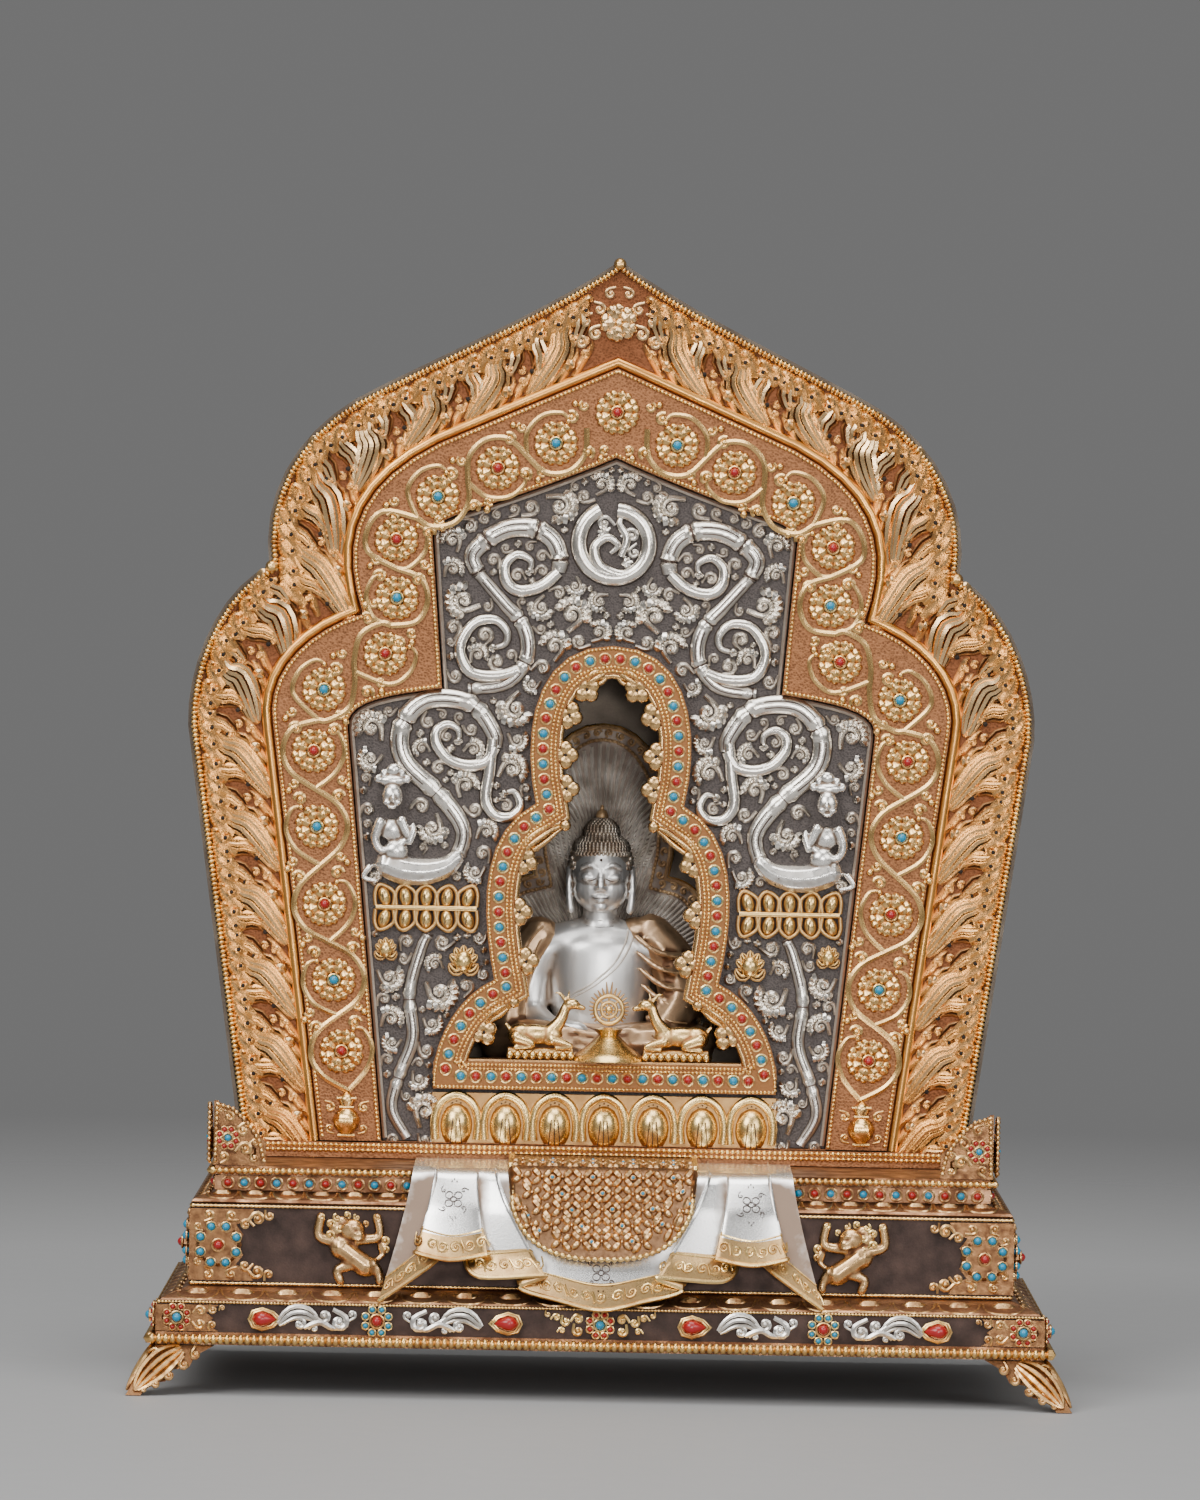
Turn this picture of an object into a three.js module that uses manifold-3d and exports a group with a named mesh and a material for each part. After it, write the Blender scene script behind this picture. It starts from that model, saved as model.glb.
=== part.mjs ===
// Ghau amulet box: a hollow metal shrine box with a repousse face, standing on a two-tier throne base.
// Millimetres, +Z up. The front faces -Y, and the origin lies under the middle, at the level of the feet.
import * as THREE from "three";
import * as BufferGeometryUtils from "three/addons/utils/BufferGeometryUtils.js";
import Module from "manifold-3d";

const wasm = await Module();
wasm.setup();

// Left between two pieces that touch
const clearance = 0.3;

// Throne base
const platformHalfWidth = 127.3;
const platformHalfDepth = 59.3;
const footHeight = 16;
const footThickness = 3.2;
const footSplay = 9;
const footReach = 19;
const blockHeight = 14.2;
const blockOut = 15.2;
const flangeOut = 16.4;
const flangeHeight = 4;
const lowerMouldingHeight = 4.4;
const waistHeight = 26.3;
const waistOut = 5.2;
const upperMouldingHeight = 3.9;
const stoneBandHeight = 5.2;
const stoneBandIn = 2.3;
const platformThickness = 2.8;
const baseWall = 1.4;
const lowerPetalPitch = 14.5;
const stonePitch = 5.3;
const stoneRadius = 1.3;
const crestHeight = 21;
const crestLength = 17;
const crestThickness = 1.4;
const waistPlateLength = 21;
const ornamentThickness = 1;
const lionHeight = 24;

// Bead wires on the base: radius of each
const platformBead = 1.25;
const waistBead = 0.6;
const blockBead = 0.5;
const bottomBead = 1.85;

// Ghau box and its face
const faceHalfWidth = 139;
const faceHeight = 296.5;
const boxDepth = 54;
const boxWall = 1.2;
const boxProud = 0.8;
const faceFront = -10;
const sheet = 1.2;
const faceBead = 1.2;
const ballRadius = 2;
const flameRelief = 2.6;
const flamePitch = 24;
const coveWidth = 4;
const bandRise = 2.2;
const rosetteRadius = 7.4;
const rosetteRelief = 2.2;
const vineHalfWidth = 0.8;
const scrollRelief = 3.2;
const bottomRimHeight = 5;
const bottomRimRise = 3.6;
const frameWidth = 9.2;
const frameRise = 4.4;
const frameStoneRadius = 1.35;
const frameStonePitch = 5;
const shelfDepth = 9;
const shelfThickness = 2.2;
const lotusRowHalfWidth = 56.8;
const lotusRowHeight = 17.6;
const lotusPetals = 7;
const padHalfWidth = 17.8;
const padHeight = 14.8;

// Figures inside and in the opening
const buddhaHeight = 86;
const pedestalHeight = 29;
const pedestalHalfWidth = 40;
const pedestalDepth = 36;
const figureAcross = -2.5;
const figureDepth = 18;
const wheelAcross = 1;
const deerApart = 22.4;
const aureoleThickness = 2;
const aureoleHalfWidth = 40;
const haloHalfWidth = 22;
const aureoleRim = 3.4;
const deerLength = 22;
const wheelHeight = 25;

// Hung cloth of sheet metal
const drapeThickness = 0.8;
const drapeTop = 73.6;
const drapeEdge = 62.6;
const apronHalfWidth = 30;
const apronDrop = 27;
const apronThickness = 1;

// Levels and places that follow from the sizes above
const blockTop = footHeight + blockHeight;
const waistBottom = blockTop + lowerMouldingHeight;
const waistTop = waistBottom + waistHeight;
const bandBottom = waistTop + upperMouldingHeight;
const bandTop = bandBottom + stoneBandHeight;
const platformTop = bandTop + platformThickness;
const ghauBottom = platformTop + clearance;
const boxBack = faceFront + boxDepth;
const bandFront = faceFront - bandRise;
const panelFront = faceFront + 0.4;
const sheetBack = faceFront + sheet;
const frameFront = panelFront - frameRise;
const shelfTop = ghauBottom + faceHeight * 0.112;

// The face's outlines and carving are drawn on a grid of this size and set out at the real one
const gridHalfWidth = 139;
const gridHeight = 296.5;
const onFace = (u, v) => new THREE.Vector2(
  u * faceHalfWidth / gridHalfWidth,
  ghauBottom + v * faceHeight / gridHeight,
);

const finishes = {
  gilt: [0xd9a860, 0.32, 1],
  bronze: [0x7a5a41, 0.5, 0.9],
  dark: [0x3a302c, 0.6, 0.7],
  silver: [0xd8d4cc, 0.28, 1],
  turquoise: [0x22a0bd, 0.35, 0],
  coral: [0xb8322a, 0.35, 0],
};

const ghau = new THREE.Group();

function finish(name) {
  const [color, roughness, metalness] = finishes[name];
  return new THREE.MeshStandardMaterial({ color, roughness, metalness });
}

function addPiece(name, geometry, finishName, parent = ghau) {
  const mesh = new THREE.Mesh(geometry, finish(finishName));
  mesh.name = name;
  parent.add(mesh);
  return mesh;
}

// Solids

function withoutSlivers(geometry) {
  const source = geometry.index.array;
  const kept = [];
  for (let corner = 0; corner < source.length; corner += 3) {
    const [a, b, c] = source.slice(corner, corner + 3);
    if (a !== b && b !== c && c !== a) kept.push(a, b, c);
  }
  geometry.setIndex(kept);
  return geometry;
}

function facingOut(geometry) {
  const position = geometry.attributes.position;
  const index = geometry.index.array;
  const [a, b, c] = [new THREE.Vector3(), new THREE.Vector3(), new THREE.Vector3()];
  let volume = 0;
  for (let corner = 0; corner < index.length; corner += 3) {
    a.fromBufferAttribute(position, index[corner]);
    b.fromBufferAttribute(position, index[corner + 1]);
    c.fromBufferAttribute(position, index[corner + 2]);
    volume += a.dot(b.cross(c));
  }
  if (volume < 0) geometry.setIndex(Array.from(index).reverse());
  return geometry;
}

function solid(geometry) {
  const bare = geometry.clone();
  bare.deleteAttribute("normal");
  bare.deleteAttribute("uv");
  const closed = facingOut(withoutSlivers(BufferGeometryUtils.mergeVertices(bare, 1e-4)));
  return new wasm.Manifold(new wasm.Mesh({
    numProp: 3,
    vertProperties: new Float32Array(closed.attributes.position.array),
    triVerts: new Uint32Array(closed.index.array),
  }));
}

function geometryOf(body) {
  const mesh = body.getMesh();
  const geometry = new THREE.BufferGeometry();
  geometry.setAttribute("position", new THREE.BufferAttribute(mesh.vertProperties, 3));
  geometry.setIndex(new THREE.BufferAttribute(mesh.triVerts, 1));
  geometry.computeVertexNormals();
  return geometry;
}

function joined(bodies) {
  return bodies.reduce((whole, body) => whole.add(body));
}

function block(x0, x1, y0, y1, z0, z1) {
  const box = new THREE.BoxGeometry(x1 - x0, y1 - y0, z1 - z0);
  box.translate((x0 + x1) / 2, (y0 + y1) / 2, (z0 + z1) / 2);
  return solid(box);
}

// A flat outline in X and Z, made thick from front to back
function prism(outline, front, back, holes = []) {
  const shape = new THREE.Shape(outline);
  shape.holes = holes.map((hole) => new THREE.Path(hole));
  const geometry = new THREE.ExtrudeGeometry(shape, { depth: back - front, bevelEnabled: false });
  geometry.rotateX(Math.PI / 2);
  geometry.translate(0, back, 0);
  return solid(geometry);
}

// Triangles that zigzag across a ring, so that a ring folded like a strip closes within itself
function acrossRing(count) {
  const triangles = [];
  let low = 0;
  let high = count - 1;
  while (low + 1 < high) {
    triangles.push([low, low + 1, high]);
    low += 1;
    if (low + 1 < high) triangles.push([low, high - 1, high]);
    high -= 1;
  }
  return triangles;
}

// Rings of equal count joined side by side, closed at both ends
function loft(rings) {
  const count = rings[0].length;
  const position = rings.flat().flatMap((point) => [point.x, point.y, point.z]);
  const index = [];
  for (let ring = 0; ring + 1 < rings.length; ring += 1) {
    for (let side = 0; side < count; side += 1) {
      const here = ring * count + side;
      const next = ring * count + (side + 1) % count;
      index.push(here, next, here + count, next, next + count, here + count);
    }
  }
  const last = (rings.length - 1) * count;
  for (const [a, b, c] of acrossRing(count)) index.push(a, c, b, last + a, last + b, last + c);
  const geometry = new THREE.BufferGeometry();
  geometry.setAttribute("position", new THREE.BufferAttribute(new Float32Array(position), 3));
  geometry.setIndex(index);
  return solid(geometry);
}

// Four-sided tiers: a profile of [how far outside the platform, height] turned about Z and widened
function tiers(profile) {
  const points = profile.map(([out, height]) => {
    const reach = out === null ? 0 : (platformHalfDepth + out) * Math.SQRT2;
    return new THREE.Vector2(reach, height);
  });
  const lathe = new THREE.LatheGeometry(points, 4, Math.PI / 4);
  lathe.rotateX(Math.PI / 2);
  const position = lathe.attributes.position;
  const widening = platformHalfWidth - platformHalfDepth;
  for (let vertex = 0; vertex < position.count; vertex += 1) {
    const x = position.getX(vertex);
    if (Math.abs(x) > 1e-3) position.setX(vertex, x + Math.sign(x) * widening);
  }
  return solid(lathe);
}

function tierWire(out, height, radius, sides = 6) {
  const profile = [];
  for (let side = 0; side <= sides; side += 1) {
    const angle = (side % sides) * 2 * Math.PI / sides;
    profile.push([out + radius * Math.cos(angle), height + radius * Math.sin(angle)]);
  }
  return tiers(profile);
}

// Outlines

function mirrored(half) {
  const other = half.slice().reverse().filter((point) => Math.abs(point.x) > 1e-6);
  return half.concat(other.map((point) => new THREE.Vector2(-point.x, point.y)));
}

// Moves a closed outline inwards by a width, or outwards where the width is negative
function inset(outline, width) {
  const turn = THREE.ShapeUtils.area(outline) > 0 ? 1 : -1;
  return outline.map((point, place) => {
    const before = outline[(place + outline.length - 1) % outline.length];
    const after = outline[(place + 1) % outline.length];
    const inward = point.clone().sub(before).normalize();
    const outward = after.clone().sub(point).normalize();
    const side = new THREE.Vector2(-(inward.y + outward.y), inward.x + outward.x).normalize();
    const reach = width / Math.max(0.45, side.dot(new THREE.Vector2(-inward.y, inward.x)));
    return point.clone().addScaledVector(side, turn * reach);
  });
}

function halfOutline(foot, curves, divisions) {
  const path = new THREE.Path();
  path.moveTo(foot.x, foot.y);
  for (const curve of curves) {
    if (curve.length === 1) path.lineTo(curve[0].x, curve[0].y);
    else path.bezierCurveTo(...curve.flatMap((point) => [point.x, point.y]));
  }
  return path.getPoints(divisions);
}

const faceHalf = halfOutline(onFace(119, 0), [
  [onFace(138.9, 141.7)],
  [onFace(140, 162), onFace(129, 187), onFace(113, 194.5)],
  [onFace(117, 220), onFace(103, 242), onFace(78.5, 253.7)],
  [onFace(52, 267.5), onFace(22, 281), onFace(0, 296.5)],
], 4);
const bandHalf = halfOutline(onFace(93.6, 5.5), [
  [onFace(111.6, 142.6)],
  [onFace(114.5, 158), onFace(103, 173), onFace(82.6, 179.5)],
  [onFace(91, 203), onFace(86, 222), onFace(58.6, 236.1)],
  [onFace(39, 244.8), onFace(18, 254), onFace(0, 261.9)],
], 4);
const panelHalf = halfOutline(onFace(73.2, 5.5), [
  [onFace(86.8, 141.4)],
  [onFace(88, 150), onFace(76, 152.5), onFace(55.9, 155.3)],
  [onFace(60, 205)],
  [onFace(60.5, 210), onFace(54, 212), onFace(45.9, 214.7)],
  [onFace(34, 218.5), onFace(14, 226), onFace(0, 232.3)],
], 3);
const frameHalf = halfOutline(onFace(57.1, 23.3), [
  [onFace(57.5, 38), onFace(50, 53.5), onFace(37.1, 59.6)],
  [onFace(41.5, 80), onFace(44, 108), onFace(24.5, 118)],
  [onFace(29.5, 140), onFace(27, 170.5), onFace(0, 170.5)],
], 4);
const faceOutline = mirrored(faceHalf);
const bandOutline = mirrored(bandHalf);
const panelOutline = mirrored(panelHalf);
const frameOutline = mirrored(frameHalf);
const windowOutline = inset(frameOutline, frameWidth);

// Evenly spaced places along a line of points
function placesAlong(points, pitch) {
  const path = new THREE.Path(points);
  const count = Math.max(1, Math.round(path.getLength() / pitch));
  return Array.from({ length: count }, (_, place) => path.getPointAt((place + 0.5) / count));
}

// An outline with nothing lower than a level
function raisedTo(outline, level) {
  return outline.map((point) => new THREE.Vector2(point.x, Math.max(point.y, level)));
}

// Relief

// A raised stroke along a curve: ridge-backed with two sides, rounder with more
function stroke(points, { width, height, level, steps = 4, sides = 2, start = 0.3, end = 0.1 }) {
  const curve = new THREE.SplineCurve(points);
  const rings = [];
  for (let step = 0; step <= steps; step += 1) {
    const share = step / steps;
    const at = curve.getPointAt(share);
    const along = curve.getTangentAt(share);
    const swell = Math.min(1, start + share * 3) * (end + (1 - end) * Math.sqrt(1 - share * 0.96));
    const ring = [];
    for (let side = 0; side <= sides; side += 1) {
      const angle = Math.PI * side / sides;
      const across = width * swell * Math.cos(angle);
      const lift = height * Math.sqrt(swell) * Math.sin(angle);
      ring.push(new THREE.Vector3(at.x - along.y * across, level + 0.3 - lift, at.y + along.x * across));
    }
    rings.push(ring);
  }
  return loft(rings);
}

// A low boss that faces the front, or the side it is turned to
function boss(x, y, z, radius, height, sides, top = 0.5, turn = 0, squash = 1) {
  const cylinder = new THREE.CylinderGeometry(radius * top, radius, height, sides);
  cylinder.rotateX(Math.PI);
  cylinder.translate(0, 0.3 - height / 2, 0);
  cylinder.scale(1, 1, squash);
  cylinder.rotateZ(turn);
  cylinder.translate(x, y, z);
  return solid(cylinder);
}

// A rosette as a low cone with a side for each petal, rising to the stone in the middle
function rosette(at, level, radius, height, petals = 8) {
  const rim = [];
  for (let petal = 0; petal < petals; petal += 1) {
    const angle = 2 * Math.PI * (petal + 0.5) / petals;
    rim.push(new THREE.Vector3(at.x + radius * Math.cos(angle), level + 0.3,
      at.y + radius * Math.sin(angle)));
  }
  const crown = rim.map(() => new THREE.Vector3(at.x, level - height - 0.8, at.y));
  return loft([rim, crown]);
}

function spiral(centre, radius, startAngle, turns, steps, shrink = 0.25) {
  return Array.from({ length: steps + 1 }, (_, step) => {
    const share = step / steps;
    const angle = startAngle + turns * 2 * Math.PI * share;
    const reach = radius * (1 - share * (1 - shrink));
    return new THREE.Vector2(centre.x + reach * Math.cos(angle), centre.y + reach * Math.sin(angle));
  });
}

function flipped(points) {
  return points.map((point) => new THREE.Vector2(-point.x, point.y));
}

// An ellipsoid with few sides
function egg(x, y, z, halfX, halfY, halfZ, around = 8, up = 5) {
  const ball = new THREE.SphereGeometry(1, around, up);
  ball.rotateX(Math.PI / 2);
  ball.scale(halfX, halfY, halfZ);
  ball.translate(x, y, z);
  return solid(ball);
}

// A round limb through points in space
function limb(points, radii, sides = 6) {
  const rings = points.map((point, place) => {
    const before = points[Math.max(0, place - 1)];
    const after = points[Math.min(points.length - 1, place + 1)];
    const along = after.clone().sub(before).normalize();
    const aside = new THREE.Vector3().crossVectors(along, new THREE.Vector3(0.13, 0.2, 1)).normalize();
    const upward = new THREE.Vector3().crossVectors(aside, along);
    return Array.from({ length: sides }, (_, side) => {
      const angle = 2 * Math.PI * side / sides;
      return point.clone()
        .addScaledVector(aside, radii[place] * Math.cos(angle))
        .addScaledVector(upward, radii[place] * Math.sin(angle));
    });
  });
  return loft(rings);
}

// Throne base

function petalRow(pitch, out, height, width, rise, sides) {
  const petals = [];
  const row = (halfLength, place) => {
    const count = Math.round(2 * halfLength / pitch);
    for (let petal = 0; petal < count; petal += 1) {
      petals.push(place((petal + 0.5) * 2 * halfLength / count - halfLength));
    }
  };
  const cone = (x, y, turn) => {
    const point = new THREE.ConeGeometry(width, rise, 4);
    point.rotateX(Math.PI / 2);
    point.scale(1, 0.62, 1);
    point.rotateZ(turn);
    point.translate(x, y, height);
    return solid(point);
  };
  row(platformHalfWidth + out - width, (x) => cone(x, -platformHalfDepth - out, 0));
  for (const side of sides) {
    row(platformHalfDepth + out - width, (y) => cone(side * (platformHalfWidth + out), y, Math.PI / 2));
  }
  return petals;
}

function makeBase() {
  const outer = tiers([
    [null, footHeight],
    [flangeOut, footHeight],
    [flangeOut, footHeight + flangeHeight],
    [blockOut, footHeight + flangeHeight],
    [blockOut, blockTop],
    [blockOut - 1, blockTop + 0.8],
    [waistOut + 2, waistBottom - 0.8],
    [waistOut, waistBottom],
    [waistOut, waistTop],
    [waistOut + 0.8, waistTop + 1],
    [-stoneBandIn, bandBottom],
    [-stoneBandIn, bandTop],
    [-platformBead, bandTop],
    [-platformBead, platformTop],
    [null, platformTop],
  ]);
  const inner = tiers([
    [null, footHeight - 1],
    [blockOut - baseWall, footHeight - 1],
    [blockOut - baseWall, blockTop - baseWall],
    [waistOut - baseWall, waistBottom - baseWall],
    [waistOut - baseWall, waistTop - baseWall],
    [-stoneBandIn - baseWall, bandBottom - baseWall],
    [-stoneBandIn - baseWall, platformTop - baseWall],
    [null, platformTop - baseWall],
  ]);
  const petals = [
    ...petalRow(lowerPetalPitch, (blockOut + waistOut) / 2 + 0.6, blockTop + 2.6, 5.6, 3.4, [-1, 1]),
  ];
  addPiece("base_body", geometryOf(joined([outer, ...petals]).subtract(inner)), "bronze");

  addPiece("platform_beads", geometryOf(tierWire(clearance, bandTop + platformThickness / 2,
    platformBead)), "gilt");
  const waistWireOut = waistOut + waistBead + clearance;
  addPiece("waist_top_beads", geometryOf(tierWire(waistWireOut, waistTop - waistBead, waistBead)), "gilt");
  addPiece("waist_bottom_beads", geometryOf(tierWire(waistWireOut, waistBottom + waistBead,
    waistBead)), "gilt");
  const blockWireOut = blockOut + blockBead + clearance;
  addPiece("block_beads", geometryOf(tierWire(blockWireOut, blockTop - blockBead, blockBead)), "gilt");
  const bottomWireOut = flangeOut + bottomBead + clearance;
  const bottomWire = tierWire(bottomWireOut, footHeight + flangeHeight / 2, bottomBead, 8);
  addPiece("bottom_beads", geometryOf(bottomWire), "gilt");
}

// The band of stones is a strip round the base, with a row of bezels across the front
function makeStoneBand() {
  const inside = -stoneBandIn + clearance;
  const outside = inside + 0.9;
  const low = bandBottom + clearance;
  const high = bandTop - clearance;
  const strip = tiers([[inside, low], [outside, low], [outside, high], [inside, high], [inside, low]]);
  const front = -platformHalfDepth - outside;
  const middle = (low + high) / 2;
  const half = platformHalfWidth + outside;
  const stones = [];
  for (let x = half - stonePitch * 0.6; x > apronHalfWidth * 2.1; x -= stonePitch) {
    for (const side of [-1, 1]) stones.push(boss(side * x, front, middle, stoneRadius * 1.6, 1.6, 4, 0));
  }
  addPiece("stone_band", geometryOf(joined([strip, ...stones])), "bronze");
}

// A foot is a splayed leaf bent round the corner, its lower edge stepping up in curls
function makeFeet() {
  const steps = 3;
  const wing = [new THREE.Vector2(0, 0)];
  for (let step = 0; step < steps; step += 1) {
    const reach = footReach * (0.26 + 0.74 * step / steps);
    const low = (footHeight - clearance) * (step / (steps + 0.6));
    const high = (footHeight - clearance) * ((step + 0.85) / (steps + 0.6));
    wing.push(new THREE.Vector2(reach, low));
    wing.push(new THREE.Vector2(reach, high));
  }
  wing.push(new THREE.Vector2(footReach, footHeight - clearance));
  wing.push(new THREE.Vector2(0, footHeight - clearance));
  const front = prism(wing, 0, footThickness);
  const aside = front.rotate([0, 0, 90]).mirror([1, 0, 0]);
  const corner = geometryOf(front.add(aside));
  for (const [name, acrossSign, depthSign] of [
    ["foot_front_left", -1, -1],
    ["foot_front_right", 1, -1],
    ["foot_back_left", -1, 1],
    ["foot_back_right", 1, 1],
  ]) {
    const foot = corner.clone();
    const position = foot.attributes.position;
    for (let vertex = 0; vertex < position.count; vertex += 1) {
      const height = position.getZ(vertex);
      const lean = footSplay * (1 - height / footHeight) ** 1.3;
      const across = platformHalfWidth + flangeOut + lean - position.getX(vertex);
      const depth = platformHalfDepth + flangeOut + lean - position.getY(vertex);
      position.setXYZ(vertex, acrossSign * across, depthSign * depth, height);
    }
    addPiece(name, geometryOf(solid(foot)), "gilt");
  }
}

// A piece bent round a front corner: one wing along the front and one along the side
function bentWing(outline, thickness, out) {
  const wing = prism(outline, 0, thickness);
  const corner = wing.add(wing.rotate([0, 0, 90]).mirror([1, 0, 0]));
  return corner.translate([-platformHalfWidth - out, -platformHalfDepth - out, 0]);
}

function addBothSides(name, left, finishName) {
  addPiece(`${name}_left`, geometryOf(left), finishName);
  addPiece(`${name}_right`, geometryOf(left.mirror([1, 0, 0])), finishName);
}

function makeCrests() {
  const foot = platformTop + clearance;
  const wing = [
    [0, 0], [1, 0], [1, 0.36], [0.8, 0.53], [0.6, 0.6], [0.58, 0.72], [0.2, 0.93], [0, 1],
  ].map(([along, up]) => new THREE.Vector2(along * crestLength, foot + up * crestHeight));
  const out = -crestThickness * 0.4;
  const left = [bentWing(wing, crestThickness, out)];
  const edgeX = -platformHalfWidth - out;
  const edgeY = -platformHalfDepth - out;
  const middle = foot + crestHeight * 0.42;
  left.push(boss(edgeX + crestLength * 0.3, edgeY, middle, 3.4, 1.4, 8, 0.7));
  left.push(boss(edgeX + crestLength * 0.72, edgeY, foot + crestHeight * 0.22, 2.2, 1.2, 6, 0.5));
  left.push(boss(edgeX, edgeY + crestLength * 0.3, middle, 3.4, 1.4, 8, 0.7, -Math.PI / 2));
  addBothSides("corner_crest", joined(left), "gilt");
}

function stoneRosette(x, y, z, ring, turn) {
  const stones = [boss(x, y, z, ring * 0.92, 1.2, 8, 0.8, turn)];
  stones.push(boss(x, y, z, ring * 0.34, 2.8, 5, 0.6, turn));
  return stones;
}

function makeWaistOrnaments() {
  const low = waistBottom + 2 * waistBead + clearance;
  const high = waistTop - 2 * waistBead - clearance;
  const tall = high - low;
  const wing = [
    [0, 0], [1, 0], [0.9, 0.16], [0.72, 0.22], [0.84, 0.36], [0.7, 0.5], [0.84, 0.64], [0.72,
      0.78], [0.9, 0.84],
    [1, 1], [0, 1],
  ].map(([along, up]) => new THREE.Vector2(along * waistPlateLength, low + up * tall));
  const out = waistOut + clearance + ornamentThickness;
  const edgeX = -platformHalfWidth - out;
  const edgeY = -platformHalfDepth - out;
  const middle = (low + high) / 2;
  const ring = tall * 0.36;
  addBothSides("waist_ornament", joined([
    bentWing(wing, ornamentThickness, out),
    ...stoneRosette(edgeX + waistPlateLength * 0.45, edgeY, middle, ring, 0),
    ...stoneRosette(edgeX, edgeY + waistPlateLength * 0.45, middle, ring, -Math.PI / 2),
  ]), "gilt");
}

// A rearing snow lion in relief, drawn in shares of its height, holding up the bead above
function makeLions() {
  const level = -platformHalfDepth - waistOut - clearance - 0.3;
  const low = waistBottom + (waistHeight - lionHeight) / 2;
  const middle = -platformHalfWidth * 0.64;
  const at = (x, z) => new THREE.Vector2(middle + x * lionHeight, low + z * lionHeight);
  const bar = (points, width, height) => stroke(points, {
    width: width * lionHeight, height, level, steps: 2, start: 0.75, end: 0.75,
  });
  const lump = (x, z, radius, height, squash = 1) => {
    const place = at(x, z);
    return boss(place.x, level, place.y, radius * lionHeight, height, 5, 0.5, 0, squash);
  };
  addBothSides("snow_lion", joined([
    bar([at(-0.4, 0.97), at(-0.46, 0.78), at(-0.42, 0.6), at(-0.02, 0.58)], 0.075, 2.2),
    bar([at(0.36, 0.95), at(0.42, 0.78), at(0.36, 0.62), at(0.02, 0.56)], 0.075, 2.2),
    lump(-0.02, 0.74, 0.21, 3.4, 0.9),
    lump(0.13, 0.73, 0.1, 4, 0.8),
    bar([at(-0.02, 0.6), at(0.04, 0.42), at(0.2, 0.28), at(0.3, 0.22)], 0.16, 3.2),
    bar([at(0.14, 0.3), at(-0.06, 0.22), at(-0.12, 0.08)], 0.09, 2.4),
    bar([at(0.26, 0.26), at(0.36, 0.16), at(0.38, 0.05)], 0.09, 2.4),
    bar([at(0.28, 0.32), at(0.4, 0.42), at(0.5, 0.62)], 0.13, 2),
  ]), "gilt");
}

function makeBlockOrnaments() {
  const low = footHeight + flangeHeight + clearance;
  const high = blockTop - 2 * blockBead - clearance;
  const middle = (low + high) / 2;
  const tall = high - low;
  const level = -platformHalfDepth - blockOut - clearance - ornamentThickness;
  const plate = (x, z, radius, sides, squash = 1) => (
    boss(x, level + ornamentThickness - 0.3, z, radius, 1, sides, 1, 0, squash)
  );

  // Corner plates with their rosettes
  const reach = platformHalfWidth * 0.16;
  const wing = [[0, 0], [1, 0], [0.8, 0.3], [0.92, 0.5], [0.8, 0.7], [1, 1], [0, 1]].map(
    ([along, up]) => new THREE.Vector2(along * reach, low + up * tall),
  );
  const out = blockOut + clearance + ornamentThickness;
  const edgeX = -platformHalfWidth - out;
  const edgeY = -platformHalfDepth - out;
  addBothSides("block_corner", joined([
    bentWing(wing, ornamentThickness, out),
    ...stoneRosette(edgeX + tall * 0.62, edgeY, middle, tall * 0.46, 0),
    ...stoneRosette(edgeX, edgeY + tall * 0.62, middle, tall * 0.46, -Math.PI / 2),
  ]), "gilt");

  // Coral drops, flowers and silver scrolls between them, each set by its share of the platform
  for (const [name, share] of [["outer_drop", 0.855], ["inner_drop", 0.237]]) {
    const x = -platformHalfWidth * share;
    const stone = boss(x, level, middle, tall * 0.34, 2.4, 5, 0.5, 0, 0.8);
    addBothSides(name, plate(x, middle, tall * 0.46, 6, 0.8).add(stone), "coral");
  }
  const flowerX = -platformHalfWidth * 0.567;
  const flowerStone = boss(flowerX, level, middle, tall * 0.2, 2.2, 4, 0.6);
  addBothSides("block_flower", plate(flowerX, middle, tall * 0.47, 8).add(flowerStone), "turquoise");
  for (const [name, share, hand] of [["outer_scroll", 0.72, 1], ["inner_scroll", 0.4, -1]]) {
    const x = -platformHalfWidth * share;
    const half = platformHalfWidth * 0.095;
    const wave = [[-1, -0.1], [-0.5, 0.25], [-0.1, 0.2], [0.25, -0.3], [0.7, -0.3], [0.95, 0.2], [0.6, 0.32]];
    const points = wave.map(([along, up]) => new THREE.Vector2(x + hand * along * half, middle + up * tall));
    const curl = new THREE.Vector2(x - hand * half * 0.3, middle);
    addBothSides(name, joined([
      stroke(points, { width: tall * 0.16, height: 1.4, level: level + 0.7, steps: 7, start: 0.3, end: 0.5 }),
      boss(curl.x, level + 0.7, curl.y, tall * 0.24, 1.2, 5, 0.6),
    ]), "silver");
  }
  const centre = [plate(0, middle, tall * 0.48, 8), boss(0, level, middle, tall * 0.22, 2.2, 6, 0.6)];
  for (const side of [-1, 1]) {
    const points = [[0.3, 0], [0.9, 0.28], [1.5, -0.2], [2.1, 0.25]].map(
      ([along, up]) => new THREE.Vector2(side * along * tall, middle + up * tall),
    );
    centre.push(stroke(points, { width: tall * 0.2, height: 1.4, level: level + 0.7, steps: 5,
      start: 1, end: 0.3 }));
  }
  addPiece("block_centre", geometryOf(joined(centre)), "gilt");
}

// Sheet-metal cloth: the places of its folds from the left edge to the middle.
// Each row is [across at the top, across at the hem, how far proud, how high the hem is].
const folds = [
  [-61.6, -71.9, 0.8, 31.2],
  [-54.6, -52.4, 0, 45.3],
  [-54.2, -60.4, 3, 47],
  [-48, -49, 5.6, 45],
  [-41.6, -36.9, 5.6, 47],
  [-40, -44, 0.6, 45.3],
  [-37, -39.2, 2, 39.5],
  [-34.4, -18, 5, 40.5],
  [-33.4, -26.2, 1, 36.3],
  [-18, -13, 2.4, 32.6],
  [0, 0, 3.2, 30],
];

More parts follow.
